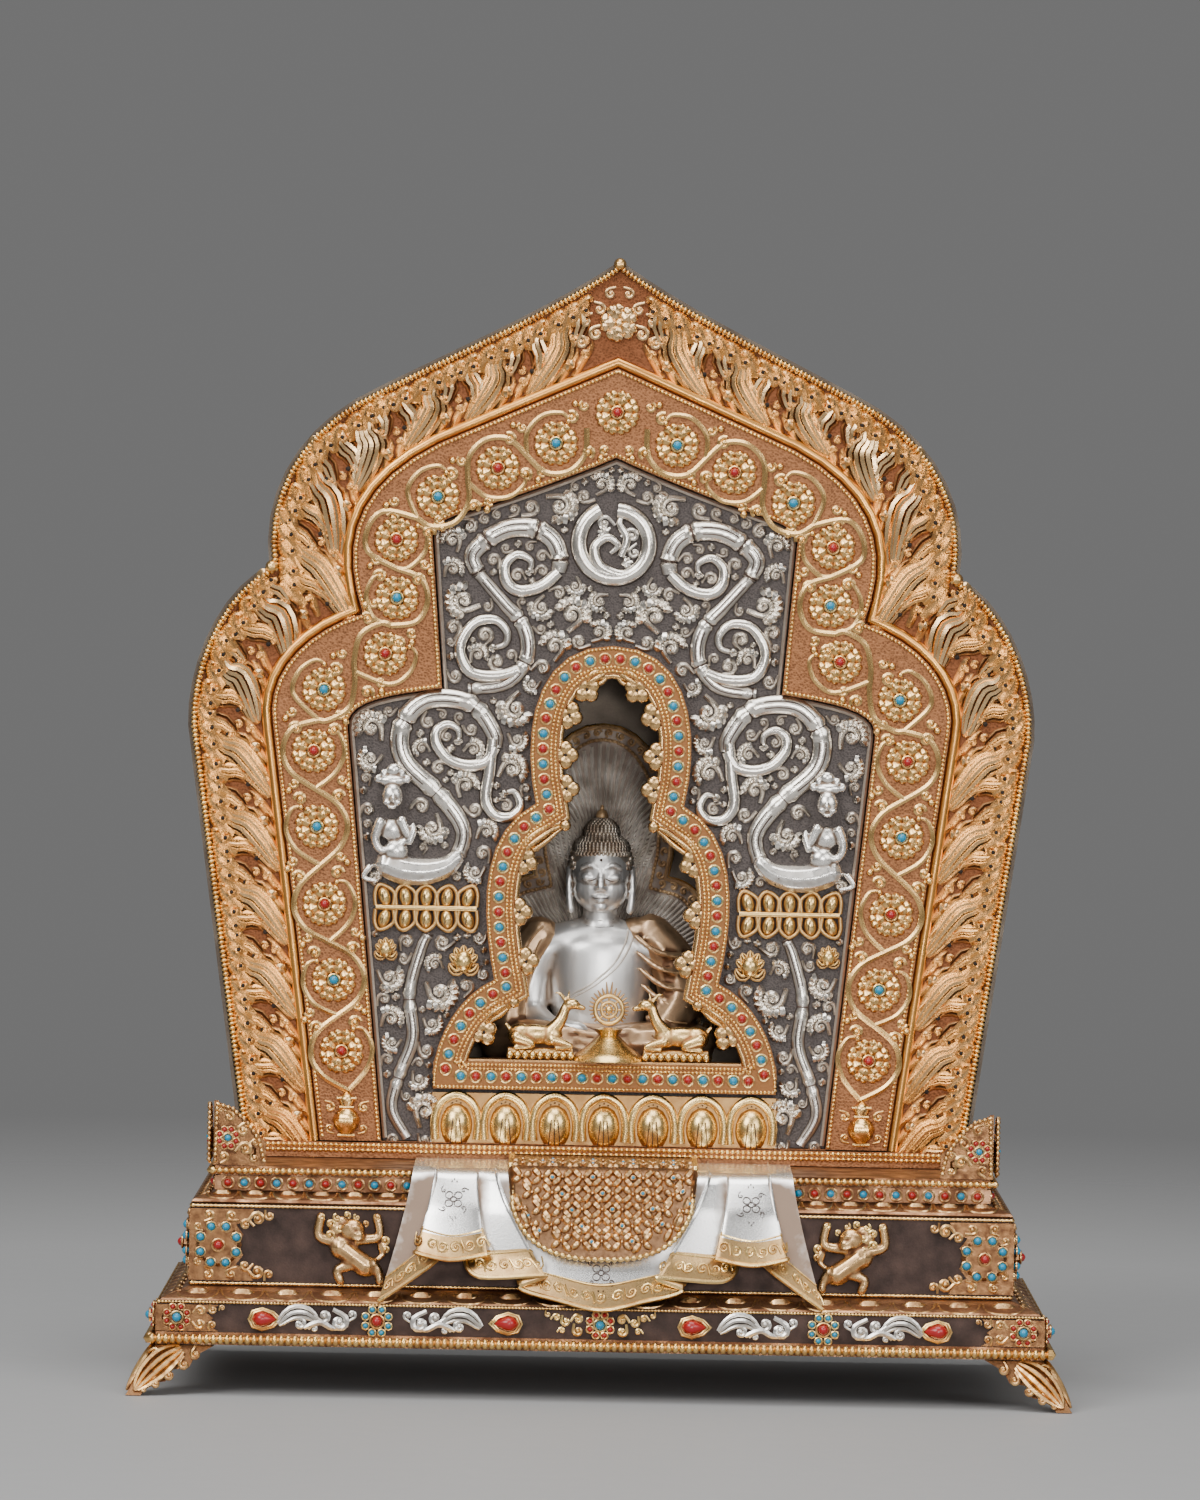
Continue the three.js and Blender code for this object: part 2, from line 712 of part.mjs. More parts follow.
// The line that the cloth follows behind its folds, in front of the beads and mouldings
function clothBack(height) {
  const line = [
    [platformTop, drapeEdge],
    [waistTop, platformHalfDepth + waistOut + 2.6],
    [waistTop - 16, platformHalfDepth + waistOut + 5],
    [blockTop, platformHalfDepth + blockOut + 1.6],
  ];
  for (let place = 1; place < line.length; place += 1) {
    const [high, from] = line[place - 1];
    const [low, to] = line[place];
    if (height >= low || place === line.length - 1) {
      return -(from + (to - from) * Math.min(1.05, Math.max(0, (high - height) / (high - low))));
    }
  }
  return 0;
}

function makeDrape() {
  const right = folds.slice(0, -1).reverse().map(([top, hem, proud, low]) => [-top, -hem, proud, low]);
  const columns = folds.concat(right);
  const back = faceFront - bottomRimRise - 1;
  const shares = [0, 0.26, 0.6, 1];
  const line = (lift) => columns.map(([top, hem, proud, low]) => {
    const points = [
      new THREE.Vector3(top, back, drapeTop + lift),
      new THREE.Vector3(top, -drapeEdge + 2, drapeTop + lift),
      new THREE.Vector3(top, -drapeEdge - lift * 0.7, drapeTop - 0.6 + lift * 0.7),
    ];
    for (const share of shares.slice(1)) {
      const height = drapeTop + (low - drapeTop) * share;
      const bend = share ** 1.25;
      const front = clothBack(height) - proud * share ** 0.8 - lift;
      points.push(new THREE.Vector3(top + (hem - top) * bend, front, height));
    }
    return points;
  });
  const inside = line(0);
  const outside = line(drapeThickness);
  const rings = inside.map((column, place) => column.concat(outside[place].slice().reverse()));
  addPiece("drape", geometryOf(loft(rings)), "silver");
}

// The brocade apron lies on the middle of the cloth, with a half-round end
function makeApron() {
  const slices = 8;
  const proud = folds[folds.length - 1][2];
  const surface = (height, lift) => {
    const share = (drapeTop - height) / (drapeTop - folds[folds.length - 1][3]);
    return clothBack(height) - proud * share ** 0.8 - drapeThickness - clearance - 0.5 - lift;
  };
  const back = faceFront - bottomRimRise - 1;
  const top = drapeTop + drapeThickness + clearance;
  const rings = [];
  for (let slice = 0; slice <= slices; slice += 1) {
    const angle = Math.PI * (0.02 + 0.96 * slice / slices);
    const across = -apronHalfWidth * Math.cos(angle);
    const low = platformTop - apronDrop * Math.sin(angle) ** 0.8;
    const profile = (lift) => {
      const points = [
        new THREE.Vector3(across, back, top + lift),
        new THREE.Vector3(across, -drapeEdge + 1, top + lift),
        new THREE.Vector3(across, -drapeEdge - 1.2 - lift, top - 1 + lift * 0.6),
      ];
      for (const share of [0.5, 1]) {
        const height = top + (low - top) * share;
        points.push(new THREE.Vector3(across, surface(height, lift), height));
      }
      return points;
    };
    rings.push(profile(0).concat(profile(apronThickness).reverse()));
  }
  const studs = [];
  const pitch = apronHalfWidth * 0.44;
  for (let row = 0; row < 3; row += 1) {
    const height = platformTop - 5 - row * pitch * 0.55;
    const share = (platformTop - height) / apronDrop;
    const half = apronHalfWidth * Math.sqrt(1 - share * share) - 4;
    for (let x = (row % 2) * pitch / 2 - 3 * pitch; x < half; x += pitch) {
      if (x > -half) studs.push(boss(x, surface(height, apronThickness) + 0.4, height, 2.6, 1.6, 4, 0));
    }
  }
  addPiece("brocade_apron", geometryOf(joined([loft(rings), ...studs])), "gilt");
}

// Ghau box

function makeBox() {
  const outside = inset(faceOutline, -boxProud);
  const inside = inset(faceOutline, boxWall - boxProud);
  const shell = prism(raisedTo(outside, ghauBottom), faceFront, boxBack)
    .subtract(prism(raisedTo(inside, ghauBottom + boxWall), faceFront - 1, boxBack - boxWall));
  addPiece("box_shell", geometryOf(shell), "dark");
}

function flameUnit(root, tip, next) {
  const away = tip.clone().sub(root);
  const upward = next.clone().sub(root).normalize();
  const at = (out, up) => root.clone().addScaledVector(away, out).addScaledVector(upward, up * flamePitch);
  const tongue = (points, width, height, steps) => stroke(points, {
    width, height: flameRelief * height, level: faceFront, steps, start: 0.45, end: 0.05,
  });
  return [
    tongue([at(0.04, 0), at(0.34, 0.36), at(0.6, 0.22), at(0.93, 0.46)], 2.6, 1, 2),
    tongue([at(0.3, 0.62), at(0.6, 0.8), at(0.93, 0.98)], 2.2, 0.85, 1),
  ];
}

function makeFlameSheet() {
  const edge = inset(faceOutline, boxWall - boxProud + clearance);
  const foot = ghauBottom + bottomRimHeight + clearance;
  const inner = raisedTo(inset(bandOutline, -clearance), foot - 5);
  const plate = prism(raisedTo(edge, foot), faceFront, sheetBack)
    .subtract(prism(inner, faceFront - 1, sheetBack + 1));
  const rim = new THREE.Path(faceHalf);
  const cove = new THREE.Path(bandHalf);
  const units = [];
  for (const [start, end, rimStart, rimEnd] of [[0.0, 0.585, 0.03, 0.545], [0.6, 0.97, 0.57, 0.965]]) {
    const length = rim.getLength() * (rimEnd - rimStart);
    const count = Math.round(length / flamePitch);
    for (let unit = 0; unit < count; unit += 1) {
      const share = (place) => start + (end - start) * place / count;
      const rimShare = rimStart + (rimEnd - rimStart) * unit / count;
      const root = cove.getPointAt(share(unit));
      const outward = rim.getPointAt(rimShare);
      const away = outward.clone().sub(root);
      const inside = root.clone().addScaledVector(away, coveWidth / away.length());
      const tip = root.clone().addScaledVector(away, 1 - (faceBead * 2 + 1) / away.length());
      const next = rim.getPointAt(Math.min(1, rimShare + flamePitch / rim.getLength()))
        .sub(outward).add(inside);
      units.push(...flameUnit(inside, tip, next));
    }
  }
  const rightUnits = joined(units);
  const field = prism(inset(faceOutline, faceBead * 2 + clearance), faceFront - 9, sheetBack)
    .subtract(prism(inset(bandOutline, -coveWidth + 1), faceFront - 10, sheetBack + 1))
    .subtract(block(-faceHalfWidth, faceHalfWidth, faceFront - 10, sheetBack + 1, 0, foot));
  const notch = onFace(113, 194.5);
  const ballRoom = boss(notch.x, faceFront, notch.y, ballRadius + clearance, 6, 8, 1);
  const right = rightUnits.subtract(ballRoom);
  const flames = right.add(right.mirror([1, 0, 0])).intersect(field);
  const bud = onFace(0, 279);
  const crown = rosette(bud, faceFront, rosetteRadius * 0.9, flameRelief, 5);
  addPiece("flame_sheet", geometryOf(plate.add(flames).add(crown)), "gilt");
}

// The bead wire stands on the edge of the face, with a ball at the peak and one at each notch
function makeFaceBeads() {
  const line = inset(faceOutline, faceBead);
  const foot = ghauBottom + bottomRimHeight + clearance;
  const level = faceFront - faceBead - clearance;
  const rightHalf = raisedTo(line.slice(0, faceHalf.length), foot);
  const whole = flipped(rightHalf).concat(rightHalf.slice(0, -1).reverse());
  const sides = 4;
  const rings = whole.map((point, place) => {
    const before = whole[Math.max(0, place - 1)];
    const after = whole[Math.min(whole.length - 1, place + 1)];
    const along = after.clone().sub(before).normalize();
    return Array.from({ length: sides }, (_, side) => {
      const angle = 2 * Math.PI * side / sides + Math.PI / 4;
      const across = faceBead * 1.2 * Math.cos(angle);
      const lift = faceBead * 1.2 * Math.sin(angle);
      return new THREE.Vector3(point.x - along.y * across, level - lift, point.y + along.x * across);
    });
  });
  const peak = onFace(0, gridHeight);
  const notch = onFace(113, 194.5);
  const balls = [egg(0, level, peak.y, ballRadius, faceBead, ballRadius, 5, 3)];
  for (const side of [-1, 1]) {
    balls.push(egg(side * notch.x, level, notch.y, ballRadius, faceBead, ballRadius, 5, 3));
  }
  addPiece("face_beads", geometryOf(joined([loft(rings), ...balls])), "gilt");
}

// Places of the rosettes on the right half of the band, from the foot up, then the one at the peak
const rosettePlaces = [
  [87, 35], [90, 58.5], [93.5, 83.5], [96.5, 109], [98, 134], [95, 154.3],
  [75, 166.5], [71.5, 185], [72, 204.2], [58.6, 218.6], [39, 228.4], [20, 236.9],
];

function makeRosetteBand() {
  const foot = ghauBottom + bottomRimHeight + clearance;
  const outer = raisedTo(bandOutline, foot);
  const inner = raisedTo(inset(panelOutline, -clearance / 2), foot - 5);
  const plate = prism(outer, bandFront, sheetBack).subtract(prism(inner, bandFront - 1, sheetBack + 1));
  const centres = rosettePlaces.map(([u, v]) => onFace(u, v));
  const half = [];
  centres.forEach((centre, place) => {
    half.push(rosette(centre, bandFront, rosetteRadius, rosetteRelief));
    const next = centres[place + 1] || onFace(0, 248);
    const heading = Math.atan2(next.y - centre.y, next.x - centre.x);
    const hand = place % 2 ? 1 : -1;
    const curl = spiral(centre, rosetteRadius * 1.34, heading + hand * 2.3, -hand * 0.36, 4, 0.98);
    half.push(stroke(curl, {
      width: vineHalfWidth, height: rosetteRelief * 0.7, level: bandFront, steps: 2, start: 1, end: 1,
    }));
  });
  const vase = onFace(85, 13.5);
  half.push(boss(vase.x, bandFront, vase.y, 5.4, 3.4, 7, 0.6, 0, 1.1));
  half.push(boss(vase.x, bandFront, vase.y + 6.4, 2.6, 2.4, 5, 0.8, 0, 1.4));
  const right = joined(half);
  const peak = rosette(onFace(0, 247.4), bandFront, rosetteRadius, rosetteRelief);
  const room = prism(inset(outer, clearance), bandFront - 9, sheetBack)
    .subtract(prism(inset(panelOutline, -1), bandFront - 10, sheetBack + 1));
  const relief = joined([right, right.mirror([1, 0, 0]), peak]).intersect(room);
  addPiece("rosette_band", geometryOf(plate.add(relief)), "gilt");
}

// Silver panel: high scrollwork with two praying nagas whose tails run into the scrolls

function nagaRelief(level) {
  const at = onFace;
  const bar = (points, width, height, steps = 2) => stroke(points, {
    width, height, level, steps, start: 0.8, end: 0.7,
  });
  const lump = (u, v, radius, height, squash = 1) => {
    const place = at(u, v);
    return boss(place.x, level, place.y, radius, height, 6, 0.5, 0, squash);
  };
  return [
    lump(71.5, 119.5, 4, 4.4, 1.1),
    lump(71.5, 125.5, 3.6, 3, 0.8),
    bar([at(71.5, 116), at(70, 108), at(69.5, 101)], 4.6, 4),
    bar([at(75.5, 112), at(76, 106), at(66, 108.5)], 2.2, 5),
    bar([at(75, 93.5), at(66, 92.5), at(57, 94.5), at(50.5, 98.7)], 5.6, 4.4, 3),
  ];
}

function scrollStrokes(level) {
  const at = onFace;
  const tube = (points, width, steps) => stroke(points.map(([u, v]) => at(u, v)), {
    width, height: scrollRelief, level, steps, start: 0.9, end: 0.8,
  });
  const tendril = (points, width, steps) => stroke(points.map(([u, v]) => at(u, v)), {
    width, height: scrollRelief * 0.8, level, steps, start: 0.7, end: 0.35,
  });
  const curl = (u, v, radius) => {
    const place = at(u, v);
    return boss(place.x, level, place.y, radius, scrollRelief * 0.8, 6, 0.4);
  };
  const leaf = (u, v, radius, height = 0.75) => {
    const place = at(u, v);
    return boss(place.x, level, place.y, radius, scrollRelief * height, 4, 0);
  };
  const strokes = [
    tube([[50.5, 98.7], [48.2, 108.6], [55.5, 119.5], [69, 131.3], [69.4, 143.6], [60.8, 153.5],
      [45.5, 152.1],
      [37.9, 141.2], [37.5, 136.3]], 2.8, 8),
    tendril([[37.5, 136.3], [40, 131.5], [47.2, 130], [53.5, 132], [57.6, 137], [60.5, 144]], 2.6, 5),
    tube([[45.5, 155.4], [33.8, 157.1], [28.4, 163.4], [27, 170.6], [29.5, 177.9], [36.3, 184.1],
      [44.6, 195.4]], 2.5, 5),
    tube([[44.6, 195.4], [46.6, 200], [43.2, 204.9], [35.4, 209.9], [26.5, 210.2], [20.1, 206.6],
      [16.6, 199.3],
      [17.5, 194.5]], 2.8, 6),
    tendril([[17.5, 194.5], [24, 187.8], [32, 187], [39, 191.5], [39, 198]], 2.6, 4),
    tube([[59, 74.6], [61.5, 69], [65, 54.5], [63.6, 39.9], [67.6, 28], [70.2, 16.5], [64.9, 6.6]], 2.2, 7),
    tendril([[39, 139], [40, 128], [43, 119], [41, 114]], 2.4, 3),
    tendril([[30, 162], [38, 158.8], [47, 161], [50.5, 169], [46, 178], [38, 180.3]], 2, 5),
  ];
  for (const [u, v, radius] of [
    [50.6, 138, 4.4], [28, 197.8, 4.2], [39.5, 169, 5], [33.1, 122.8, 4.4], [52, 184, 4.6], [12, 184, 5.2],
  ]) strokes.push(curl(u, v, radius));
  for (const [u, v, radius] of [
    [52, 146.5, 4], [77, 142, 4], [27, 221, 3.4], [53, 199, 3.8], [25, 146, 3.6],
    [56, 47, 4.4], [75, 44, 4.2], [56, 30, 3.8], [76, 29, 3.8], [60, 18, 3.8],
  ]) strokes.push(leaf(u, v, radius));
  return strokes;
}

function makeScrollPanel() {
  const foot = ghauBottom + bottomRimHeight + clearance;
  const sheetOutline = raisedTo(inset(panelOutline, clearance), foot);
  const plate = prism(sheetOutline, panelFront, sheetBack)
    .subtract(prism(inset(frameOutline, frameWidth * 0.4), panelFront - 1, sheetBack + 1));
  const half = joined([...scrollStrokes(panelFront), ...nagaRelief(panelFront)]);
  const ring = onFace(0, 204.3);
  const centre = [
    stroke(spiral(ring, 12.6, 2, 0.93, 16, 0.86), {
      width: 2.8, height: scrollRelief, level: panelFront, steps: 8, start: 1, end: 0.8,
    }),
    boss(ring.x - 2.4, panelFront, ring.y - 2.6, 5, scrollRelief * 0.8, 6, 0.4),
    boss(ring.x + 3.4, panelFront, ring.y + 4.4, 3.8, scrollRelief * 0.8, 6, 0.4),
  ];
  const window = prism(inset(frameOutline, -clearance), panelFront - 9, sheetBack + 1);
  const rowTop = onFace(0, 5.5).y + lotusRowHeight + clearance * 2;
  const row = block(-lotusRowHalfWidth - 0.6, lotusRowHalfWidth + 0.6, panelFront - 9, panelFront,
    foot - 1, rowTop);
  let relief = joined([half, half.mirror([1, 0, 0]), ...centre]).subtract(window).subtract(row);
  for (const side of [-1, 1]) {
    const pad = onFace(side * 60, 82.8);
    const room = padHalfWidth + clearance;
    relief = relief.subtract(block(pad.x - room, pad.x + room, panelFront - 9, panelFront,
      pad.y - padHeight / 2 - clearance, pad.y + padHeight / 2 + clearance));
    for (const [u, v, radius] of budPlaces) {
      const bud = onFace(side * u, v);
      relief = relief.subtract(boss(bud.x, panelFront, bud.y, radius + 0.5, 9, 8, 1));
    }
  }
  const band = prism(sheetOutline, panelFront - 9, sheetBack);
  addPiece("scroll_panel", geometryOf(plate.add(relief.intersect(band))), "silver");
}

// Gilt buds beside each stalk: [across, up, radius]
const budPlaces = [[73.1, 69.3, 4.2], [47.3, 66, 5.6]];

function makeBuds() {
  for (const [place, [u, v, radius]] of budPlaces.entries()) {
    const at = onFace(-u, v);
    const front = panelFront - clearance - 0.3;
    const bud = joined([
      boss(at.x, front, at.y, radius * 0.92, radius * 0.75, 7, 0.55),
      boss(at.x, front - radius * 0.5, at.y + radius * 0.2, radius * 0.5, radius * 0.4, 5, 0.4),
    ]);
    addBothSides(place ? "inner_bud" : "outer_bud", bud, "gilt");
  }
}

// Double lotus pads under the nagas: two rows of petals back to back
function makeNagaPads() {
  const centre = onFace(-60, 82.8);
  const front = panelFront - clearance - 1.6;
  const low = centre.y - padHeight / 2;
  const petals = [block(centre.x - padHalfWidth * 0.9, centre.x + padHalfWidth * 0.9, front,
    panelFront - clearance,
    low + padHeight * 0.2, low + padHeight * 0.8)];
  const count = 4;
  for (let petal = 0; petal < count; petal += 1) {
    const x = centre.x + (petal - (count - 1) / 2) * padHalfWidth * 1.88 / count;
    for (const up of [0.26, 0.74]) {
      petals.push(boss(x, front + 0.5, low + padHeight * up, padHalfWidth * 0.23, 3, 4, 0, 0, 0.9));
    }
  }
  addBothSides("naga_lotus", joined(petals), "gilt");
}

function makeWindowFrame() {
  const back = panelFront - clearance;
  const ring = prism(frameOutline, frameFront + 0.8, back, [windowOutline]);
  const stones = [];
  const middle = inset(frameOutline, frameWidth / 2);
  const sillZ = onFace(0, 28.6).y;
  const stoneFront = frameFront + 0.8;
  const archHalf = middle.slice(0, frameHalf.length);
  const stone = (x, z) => boss(x, stoneFront, z, frameStoneRadius * 1.35, 1.5, 4, 0);
  for (const at of placesAlong(archHalf, frameStonePitch * 2)) stones.push(stone(-at.x, at.y),
    stone(at.x, at.y));
  const sillHalf = onFace(53, 0).x;
  const count = Math.round(sillHalf * 2 / frameStonePitch);
  for (let place = 1; place + 1 < count; place += 2) {
    stones.push(stone(-sillHalf + (place + 0.5) * 2 * sillHalf / count, sillZ));
  }
  // Trefoil curls stand into the opening along both sides
  const curls = [];
  for (const [u, v, radius] of [
    [45, 37, 3.4], [40.5, 45, 3.2], [30.5, 56.5, 4.6], [30.5, 75, 3.2], [31.8, 88, 3.2], [29.5, 100, 3.2],
    [17.8, 110.5, 4.6], [17.5, 125, 3], [17.4, 137, 3], [14.5, 149.5, 3], [7.5, 158, 3],
  ]) {
    for (const side of [-1, 1]) {
      const at = onFace(side * u, v);
      curls.push(boss(at.x, back - 1.2, at.y, radius, 1.4, 4, 0));
    }
  }
  const shelfHalf = onFace(46, 0).x;
  const shelf = block(-shelfHalf, shelfHalf, back - 1, back + shelfDepth,
    shelfTop - shelfThickness, shelfTop);
  addPiece("window_frame", geometryOf(joined([ring, ...stones, ...curls, shelf])), "gilt");
}

function makeLotusRow() {
  const foot = ghauBottom + bottomRimHeight + clearance;
  const back = panelFront - clearance;
  const front = back - 1.4;
  const parts = [block(-lotusRowHalfWidth, lotusRowHalfWidth, front, back, foot,
    foot + lotusRowHeight - 0.6)];
  const pitch = 2 * lotusRowHalfWidth / lotusPetals;
  for (let petal = 0; petal < lotusPetals; petal += 1) {
    const x = -lotusRowHalfWidth + (petal + 0.5) * pitch;
    parts.push(egg(x, front, foot + lotusRowHeight * 0.47, pitch * 0.4, 4, lotusRowHeight * 0.44, 7, 4));
  }
  const room = block(-lotusRowHalfWidth, lotusRowHalfWidth, front - 9, back, foot, foot + lotusRowHeight);
  addPiece("lotus_row", geometryOf(joined(parts).intersect(room)), "gilt");
}

function makeBottomRim() {
  const half = onFace(119, 0).x;
  const low = ghauBottom;
  const rail = (height) => {
    const rings = [-half, half].map((x) => [
      new THREE.Vector3(x, faceFront - bottomRimRise + 0.4, height - 0.85),
      new THREE.Vector3(x, faceFront - bottomRimRise - 0.6, height),
      new THREE.Vector3(x, faceFront - bottomRimRise + 0.4, height + 0.85),
    ]);
    return loft(rings);
  };
  const strip = block(-half, half, faceFront - bottomRimRise, faceFront - clearance, low,
    low + bottomRimHeight);
  addPiece("bottom_rim", geometryOf(joined([strip, rail(low + 4), rail(low + 2.3)])), "gilt");
}

// Figures

function makeBuddha() {
  const seat = ghauBottom + boxWall + clearance;
  const pedestalTop = seat + pedestalHeight;
  const x = figureAcross;
  const y = figureDepth;
  const sides = 10;
  const rings = [[1, 0], [1, 0.2], [0.8, 0.4], [0.8, 0.6], [1, 0.8], [0.97, 1]].map(([wide, up]) => (
    Array.from({ length: sides }, (_, side) => {
      const angle = 2 * Math.PI * (side + 0.5) / sides;
      return new THREE.Vector3(
        x + pedestalHalfWidth * wide * Math.cos(angle),
        y + pedestalDepth / 2 * wide * Math.sin(angle),
        seat + pedestalHeight * up,
      );
    })
  ));
  addPiece("buddha_pedestal", geometryOf(loft(rings)), "bronze");

  const tall = buddhaHeight;
  const low = pedestalTop + clearance;
  const at = (across, deep, up) => new THREE.Vector3(x + across * tall, y + deep * tall, low + up * tall);
  const part = (across, deep, up, halfX, halfY, halfZ, around, rows) => {
    const place = at(across, deep, up);
    return egg(place.x, place.y, place.z, halfX * tall, halfY * tall, halfZ * tall, around, rows);
  };
  const round = (points, radii) => limb(
    points.map(([a, b, c]) => at(a, b, c)),
    radii.map((radius) => radius * tall),
    5,
  );
  const mirror = (make) => [make(1), make(-1)];
  const body = joined([
    // Lap and crossed legs
    part(0, 0.02, 0.1, 0.42, 0.19, 0.12, 8, 4),
    ...mirror((side) => round([[side * 0.06, -0.13, 0.09], [side * 0.24, -0.12, 0.1], [side * 0.37,
      -0.02, 0.1]],
      [0.07, 0.085, 0.08])),
    // Torso, waist to shoulders
    part(0, 0.04, 0.3, 0.19, 0.13, 0.22, 8, 4),
    part(0, 0.02, 0.45, 0.245, 0.115, 0.13, 8, 4),
    ...mirror((side) => round([[side * 0.24, 0.03, 0.5], [side * 0.3, 0.02, 0.34], [side * 0.28, -0.06, 0.2]],
      [0.085, 0.07, 0.055])),
    ...mirror((side) => round([[side * 0.29, -0.02, 0.22], [side * 0.16, -0.13, 0.2], [side * 0.04,
      -0.15, 0.2]],
      [0.055, 0.048, 0.035])),
    // Neck, head, ears, hair and the knob above it
    round([[0, 0.02, 0.52], [0, 0.02, 0.66]], [0.075, 0.07]),
    part(0, 0.01, 0.72, 0.105, 0.11, 0.135, 8, 4),
    part(0, 0.025, 0.78, 0.118, 0.118, 0.1, 8, 3),
    part(0, 0.03, 0.88, 0.06, 0.06, 0.07, 6, 3),
    part(0, 0.03, 0.965, 0.026, 0.026, 0.034, 5, 4),
    ...mirror((side) => part(side * 0.104, 0.03, 0.69, 0.034, 0.03, 0.08, 4, 3)),
    part(0, -0.1, 0.71, 0.016, 0.02, 0.035, 4, 3),
  ]);
  const floor = block(x - tall, x + tall, y - tall, y + tall, low, low + tall * 1.1);
  addPiece("buddha", geometryOf(body.intersect(floor)), "silver");
}

// The aureole stands behind the figure: a round halo for the head over a wider one for the body
function makeAureole() {
  const foot = ghauBottom + boxWall + clearance;
  const top = onFace(0, 144).y;
  const body = onFace(0, 88).y;
  const path = new THREE.Path();
  path.moveTo(aureoleHalfWidth * 0.9, foot);
  path.lineTo(aureoleHalfWidth, foot + (body - foot) * 0.55);
  path.bezierCurveTo(aureoleHalfWidth, body - 4, aureoleHalfWidth * 0.86, body + 3,
    haloHalfWidth * 1.05, body + 5);
  path.bezierCurveTo(haloHalfWidth * 1.3, body + 24, haloHalfWidth * 0.95, top, 0, top);
  const outline = mirrored(path.getPoints(4)).map((point) =>
    new THREE.Vector2(point.x + figureAcross, point.y));
  const back = boxBack - boxWall - 2;
  const plate = prism(outline, back - aureoleThickness, back);
  const rimBody = prism(outline, back - aureoleThickness - 1, back - aureoleThickness + 0.4,
    [inset(outline, aureoleRim)]);
  addPiece("aureole", geometryOf(plate.add(rimBody)), "silver");
}

function makeDeerAndWheel() {
  const foot = shelfTop + clearance;
  const depth = panelFront - 0.6;
  const long = deerLength;
  const middle = wheelAcross - deerApart;
  const at = (along, deep, up) => new THREE.Vector3(middle + along * long, depth + deep * long,
    foot + up * long);
  const round = (points, radii) => limb(
    points.map(([a, b, c]) => at(a, b, c)),
    radii.map((radius) => radius * long),
    5,
  );
  const lump = (along, deep, up, halfX, halfY, halfZ) => {
    const place = at(along, deep, up);
    return egg(place.x, place.y, place.z, halfX * long, halfY * long, halfZ * long, 6, 4);
  };
  const halfLong = long * 0.5;
  const halfDeep = long * 0.17;
  const deer = joined([
    block(middle - halfLong, middle + halfLong, depth - halfDeep, depth + halfDeep, foot, foot + long * 0.16),
    lump(-0.05, 0, 0.36, 0.42, 0.14, 0.18),
    round([[0.25, 0, 0.38], [0.36, 0, 0.62], [0.4, 0, 0.8]], [0.14, 0.09, 0.075]),
    round([[0.34, 0, 0.86], [0.46, 0, 0.84], [0.62, 0, 0.82]], [0.07, 0.08, 0.04]),
    round([[0.34, 0, 0.88], [0.24, 0, 0.96]], [0.035, 0.012]),
    round([[0.2, -0.08, 0.26], [0.44, -0.08, 0.22], [0.3, -0.08, 0.18]], [0.06, 0.05, 0.04]),
    round([[-0.3, -0.06, 0.3], [-0.1, -0.1, 0.2], [-0.36, -0.08, 0.18]], [0.09, 0.05, 0.04]),
  ]);
  addPiece("deer_left", geometryOf(deer), "gilt");
  addPiece("deer_right", geometryOf(deer.mirror([1, 0, 0]).translate([2 * wheelAcross, 0, 0])), "gilt");

  const tall = wheelHeight;
  const standHeight = tall * 0.42;
  const profile = [[0, 0], [0.26, 0], [0.22, 0.1], [0.12, 0.42], [0, 0.42]];
  const stand = new THREE.LatheGeometry(profile.map(([out, up]) =>
    new THREE.Vector2(out * tall, up * tall)), 8);
  stand.rotateX(Math.PI / 2);
  stand.translate(wheelAcross, depth, foot);
  const hub = foot + standHeight + tall * 0.26;
  const disc = boss(wheelAcross, depth + 1, hub, tall * 0.3, 2.6, 10, 0.9);
  const knob = boss(wheelAcross, depth - 1.2, hub, tall * 0.1, 1.6, 5, 0.6);
  addPiece("dharma_wheel", geometryOf(joined([solid(stand), disc, knob])), "gilt");
}

makeBase();
makeStoneBand();
makeFeet();
makeCrests();
makeWaistOrnaments();
makeLions();
makeBlockOrnaments();
makeDrape();
makeApron();
makeBox();
makeFlameSheet();
makeFaceBeads();
makeRosetteBand();
makeScrollPanel();
makeBuds();
makeNagaPads();
makeWindowFrame();
makeLotusRow();
makeBottomRim();
makeBuddha();
makeAureole();
makeDeerAndWheel();

export default ghau;
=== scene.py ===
import math
from bisect import bisect_right

import bpy
import numpy
from mathutils import Matrix, Vector


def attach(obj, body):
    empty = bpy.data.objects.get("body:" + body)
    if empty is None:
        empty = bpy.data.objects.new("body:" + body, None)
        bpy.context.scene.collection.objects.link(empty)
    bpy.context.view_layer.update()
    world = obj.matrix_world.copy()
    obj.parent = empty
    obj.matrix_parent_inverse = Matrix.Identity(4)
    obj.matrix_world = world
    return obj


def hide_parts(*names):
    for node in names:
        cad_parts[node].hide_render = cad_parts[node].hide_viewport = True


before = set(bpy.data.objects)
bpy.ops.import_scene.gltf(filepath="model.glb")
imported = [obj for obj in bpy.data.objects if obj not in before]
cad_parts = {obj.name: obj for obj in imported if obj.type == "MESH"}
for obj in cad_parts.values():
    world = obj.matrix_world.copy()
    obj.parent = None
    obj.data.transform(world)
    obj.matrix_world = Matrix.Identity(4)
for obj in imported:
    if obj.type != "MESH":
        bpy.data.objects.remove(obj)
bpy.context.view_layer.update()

# Everything is drawn in millimetres and made real size when a piece is finished
millimetre = 0.001
ghauBottom = 73.1
platformHalf = (127.3, 59.3)


# Shader maths

